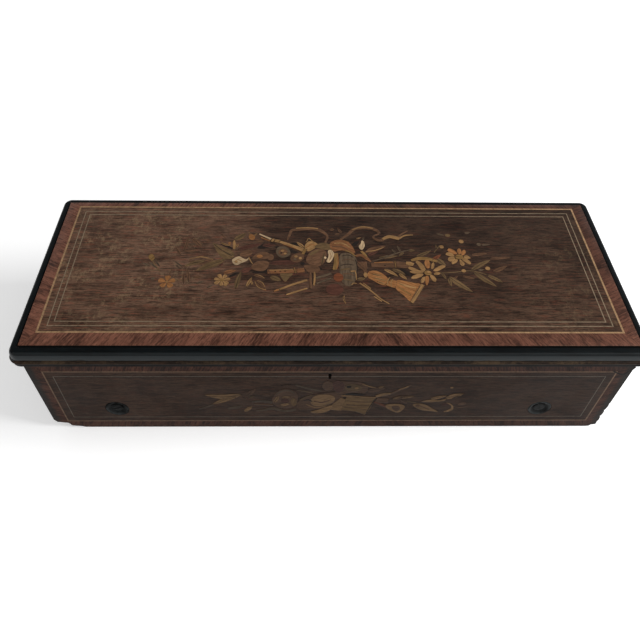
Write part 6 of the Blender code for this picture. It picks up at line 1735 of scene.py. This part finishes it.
class CombAndPlate(bpy.types.Operator):
    """Finishes the comb's base and the bedplate, and sets the comb's screws"""

    bl_idname = "music_box.comb"
    bl_label = "Comb"

    def execute(self, context):
        eased_node("comb_base", "bedplate paint", 0.4 * MM)
        eased_node("bedplate", "bedplate paint", 0.8 * MM)
        low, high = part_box("comb")
        mesh = slotted_head(3.6 * MM, 2.4 * MM, 0.8 * MM)
        places = []
        for number in range(COMB_SCREWS):
            x = low.x + (high.x - low.x) * (number + 0.5) / COMB_SCREWS
            places.append(((x, low.y + 8 * MM, high.z), (0, 0, 1), 17 + 47 * number))
        place_copies("comb_screws", mesh, places, "blued steel", "case")
        return {"FINISHED"}


class MetalWorks(bpy.types.Operator):
    """Finishes the bridges, the governor, the levers, the lock and the hinges"""

    bl_idname = "music_box.metal_works"
    bl_label = "Metal Works"

    eased = (
        ("brass", "brass", ("cylinder_bearing_left", "cylinder_bearing_right", "barrel_bridge_left",
                            "barrel_bridge_right", "click_bridge", "governor_frame", "governor_cock")),
        ("steel", "steel", ("winding_lever", "start_lever", "change_lever", "click", "lever_pawl")),
        # the lock body takes dark metal, as an old dark lock, and this also keeps the keyhole black as painted shade
        ("dark metal", "brass", ("lock_body",)),
        ("brass", "brass", ("lock_strike",)),
    )
    kept = {
        "brass": ("hinge_case_leaf_left", "hinge_case_leaf_right", "hinge_lid_leaf_left", "hinge_lid_leaf_right",
                  "spring_barrel", "barrel_cap", "cylinder_wheel", "governor_first_wheel", "governor_second_wheel"),
        "steel": ("lock_bolt", "barrel_arbor", "ratchet_wheel", "cylinder_arbor"),
        "comb steel": ("comb",),
        "blued steel": ("mainspring", "governor_fan"),
        "case wood y": ("lever_grip",),
        "glass": ("glass_pane",),
    }

    def execute(self, context):
        for finish, slot, nodes in self.eased:
            for node in nodes:
                eased_node(node, finish, 0.3 * MM, 1)
        for finish, nodes in self.kept.items():
            for node in nodes:
                mesh = frame["nodes"][node].data
                mesh.materials.clear()
                mesh.materials.append(FINISH[finish])
        return {"FINISHED"}


class TuneCard(bpy.types.Operator):
    """Prints the tune card with a border and ruled lines and no words"""

    bl_idname = "music_box.tune_card"
    bl_label = "Tune Card"

    def execute(self, context):
        low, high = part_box("tune_card")
        wide, deep = high.x - low.x, high.y - low.y
        corner, far = (-wide / 2, -deep / 2), (wide / 2, deep / 2)
        paper, print_ink = 0, 1
        borders = ((3.5 * MM, 0.9 * MM), (5.2 * MM, 0.4 * MM))
        offsets = [((inwards,) * 3, width, print_ink, paper) for inwards, width in borders]
        bm = lined_sheet((corner, far), line_rings(corner, far, offsets))
        bmesh.ops.rotate(bm, verts=bm.verts, cent=(0, 0, 0), matrix=Matrix.Rotation(math.pi, 3, "X"))
        middle = middle_of("tune_card")
        bmesh.ops.translate(bm, verts=bm.verts, vec=(middle.x, middle.y, low.z))
        piece = hand_over("printed_card", bm, ["card paper", "card print"], "lid", ("tune_card",))
        thicken(piece, high.z - low.z)
        rules = bmesh.new()
        count, margin, half = 8, 20 * MM, 0.15 * MM
        for row in range(count):
            y = low.y + deep * (0.2 + 0.6 * row / (count - 1))
            box_between(rules, (low.x + margin, y - half, low.z - 0.04 * MM),
                        (high.x - margin, y + half, low.z + 0.1 * MM))
        hand_over("card_rules", rules, ["card print"], "lid")
        return {"FINISHED"}


# Stage

FLOOR_HALF_WIDTH = 6.0
FLOOR_WHITE = (0.88, 0.88, 0.88)
SURROUND = 0.38  # strength of the world as a light; it is seen at 1
# Name, place, what it looks at, width and power in watts
LAMPS = (("key", (1.6, -0.2, 1.3), (-0.1, 0, 0.05), 0.9, 40), ("fill", (0.2, -1.7, 1.3), (0, 0, 0.1), 1.4, 8))
CAMERA_PLACE = (-0.03164, -0.50692, 0.64683)
CAMERA_PITCH, CAMERA_YAW, CAMERA_ROLL = 49.95, 1.84, 1.49
CAMERA_LENS = 35.156
CAMERA_SHIFT = (0.0075, 0.0105)


def camera_turn():
    """The camera's rotation from its pitch below level, its yaw to the right and its roll."""
    pitch, yaw, roll = (math.radians(angle) for angle in (CAMERA_PITCH, CAMERA_YAW, CAMERA_ROLL))
    ahead = Vector((math.sin(yaw) * math.cos(pitch), math.cos(yaw) * math.cos(pitch), -math.sin(pitch)))
    right = Vector((math.cos(yaw), -math.sin(yaw), 0.0))
    up = right.cross(ahead)
    right, up = math.cos(roll) * right + math.sin(roll) * up, -math.sin(roll) * right + math.cos(roll) * up
    return Matrix((right, up, -ahead)).transposed()


def seen_rays(tree):
    """1 for the rays that show the background: from the camera, off metal and through glass."""
    path = tree.add("LightPath").outputs
    both = tree.math("MAXIMUM", path["Is Camera Ray"], path["Is Glossy Ray"])
    return tree.math("MAXIMUM", both, path["Is Transmission Ray"])


def floor_material():
    """A pale floor that looks white where it is lit, keeps the box's shadow and is plain white far off."""
    material = bpy.data.materials.new("pale floor")
    material.use_nodes = True
    tree = Tree(material.node_tree)
    material.node_tree.nodes.remove(material.node_tree.nodes["Principled BSDF"])
    white = tree.add("BsdfDiffuse", {"Color": FLOOR_WHITE}).outputs[0]
    glow = tree.add("Emission", {"Color": (1.0, 1.0, 1.0)})
    away = tree.add("VectorMath", {0: tree.place()}, operation="LENGTH").outputs["Value"]
    tree.feed(glow.inputs["Strength"], tree.times(seen_rays(tree), tree.step(away, 0.55, 1.7, 0.36, 1.0)))
    both = tree.add("AddShader", {0: white, 1: glow.outputs[0]}).outputs[0]
    tree.feed(material.node_tree.nodes["Material Output"].inputs["Surface"], both)
    return material


def light_world(scene):
    """A plain soft surrounding light that is seen as white."""
    scene.world = bpy.data.worlds.new("studio")
    scene.world.use_nodes = True
    tree = Tree(scene.world.node_tree)
    seen = seen_rays(tree)
    background = scene.world.node_tree.nodes["Background"].inputs
    tree.feed(background["Color"], (1.0, 1.0, 1.0))
    tree.feed(background["Strength"], tree.step(seen, 0.0, 1.0, SURROUND, 1.0))


def add_lamp(name, place, aim, size, power):
    """A square area lamp that looks at a point."""
    light = bpy.data.lights.new(name, "AREA")
    light.size = size
    light.energy = power
    lamp = add_object(name, light)
    lamp.location = place
    lamp.rotation_euler = (Vector(aim) - Vector(place)).to_track_quat("-Z", "Y").to_euler()


class Stage(bpy.types.Operator):
    """Sets the floor, the lamps and the camera"""

    bl_idname = "music_box.stage"
    bl_label = "Stage"

    def execute(self, context):
        scene = context.scene
        bm = bmesh.new()
        bmesh.ops.create_grid(bm, x_segments=1, y_segments=1, size=FLOOR_HALF_WIDTH)
        bmesh.ops.translate(bm, verts=bm.verts, vec=(0, 0, CAD_BOX[0].z - 0.2 * MM))
        floor = hand_over("floor", bm)
        floor.data.materials.append(floor_material())
        light_world(scene)
        for lamp in LAMPS:
            add_lamp(*lamp)
        camera = bpy.data.cameras.new("camera")
        camera.sensor_width = 36.0
        camera.lens = CAMERA_LENS
        camera.shift_x, camera.shift_y = CAMERA_SHIFT
        camera.clip_start = 0.01
        scene.camera = add_object("camera", camera)
        scene.camera.matrix_world = Matrix.Translation(CAMERA_PLACE) @ camera_turn().to_4x4()
        scene.view_settings.view_transform = "Standard"
        return {"FINISHED"}


OPERATORS = (
    LidTop, LidMoulding, LidBoard, FrontSheet, CaseWalls, CaseScrews, LidMarquetry, FrontMarquetry, MusicCylinder,
    CombAndPlate, MetalWorks, TuneCard, Stage,
)


class MusicBoxPanel(bpy.types.Panel):
    """Lists the pieces of the music box"""

    bl_idname = "VIEW3D_PT_music_box"
    bl_label = "Music Box"
    bl_space_type = "VIEW_3D"
    bl_region_type = "UI"
    bl_category = "Music Box"

    def draw(self, context):
        scene = context.scene
        for group in (scene.music_box_sizes, scene.music_box_colours):
            column = self.layout.column(align=True)
            for name in group.bl_rna.properties.keys():
                if name not in ("name", "rna_type"):
                    column.prop(group, name)
        for operator in OPERATORS:
            self.layout.operator(operator.bl_idname)


CLASSES = (BoxSizes, BoxColours, *OPERATORS, MusicBoxPanel)


def register():
    """Registers the add-on's classes and its settings."""
    for each in CLASSES:
        bpy.utils.register_class(each)
    bpy.types.Scene.music_box_sizes = PointerProperty(type=BoxSizes)
    bpy.types.Scene.music_box_colours = PointerProperty(type=BoxColours)


def unregister():
    """Removes the add-on's settings and classes."""
    del bpy.types.Scene.music_box_colours
    del bpy.types.Scene.music_box_sizes
    for each in reversed(CLASSES):
        bpy.utils.unregister_class(each)


def main():
    """Builds the whole box."""
    register()
    FINISH.update(make_finishes())
    for operator in OPERATORS:
        group, name = operator.bl_idname.split(".")
        getattr(getattr(bpy.ops, group), name)()


if __name__ == "__main__":
    main()
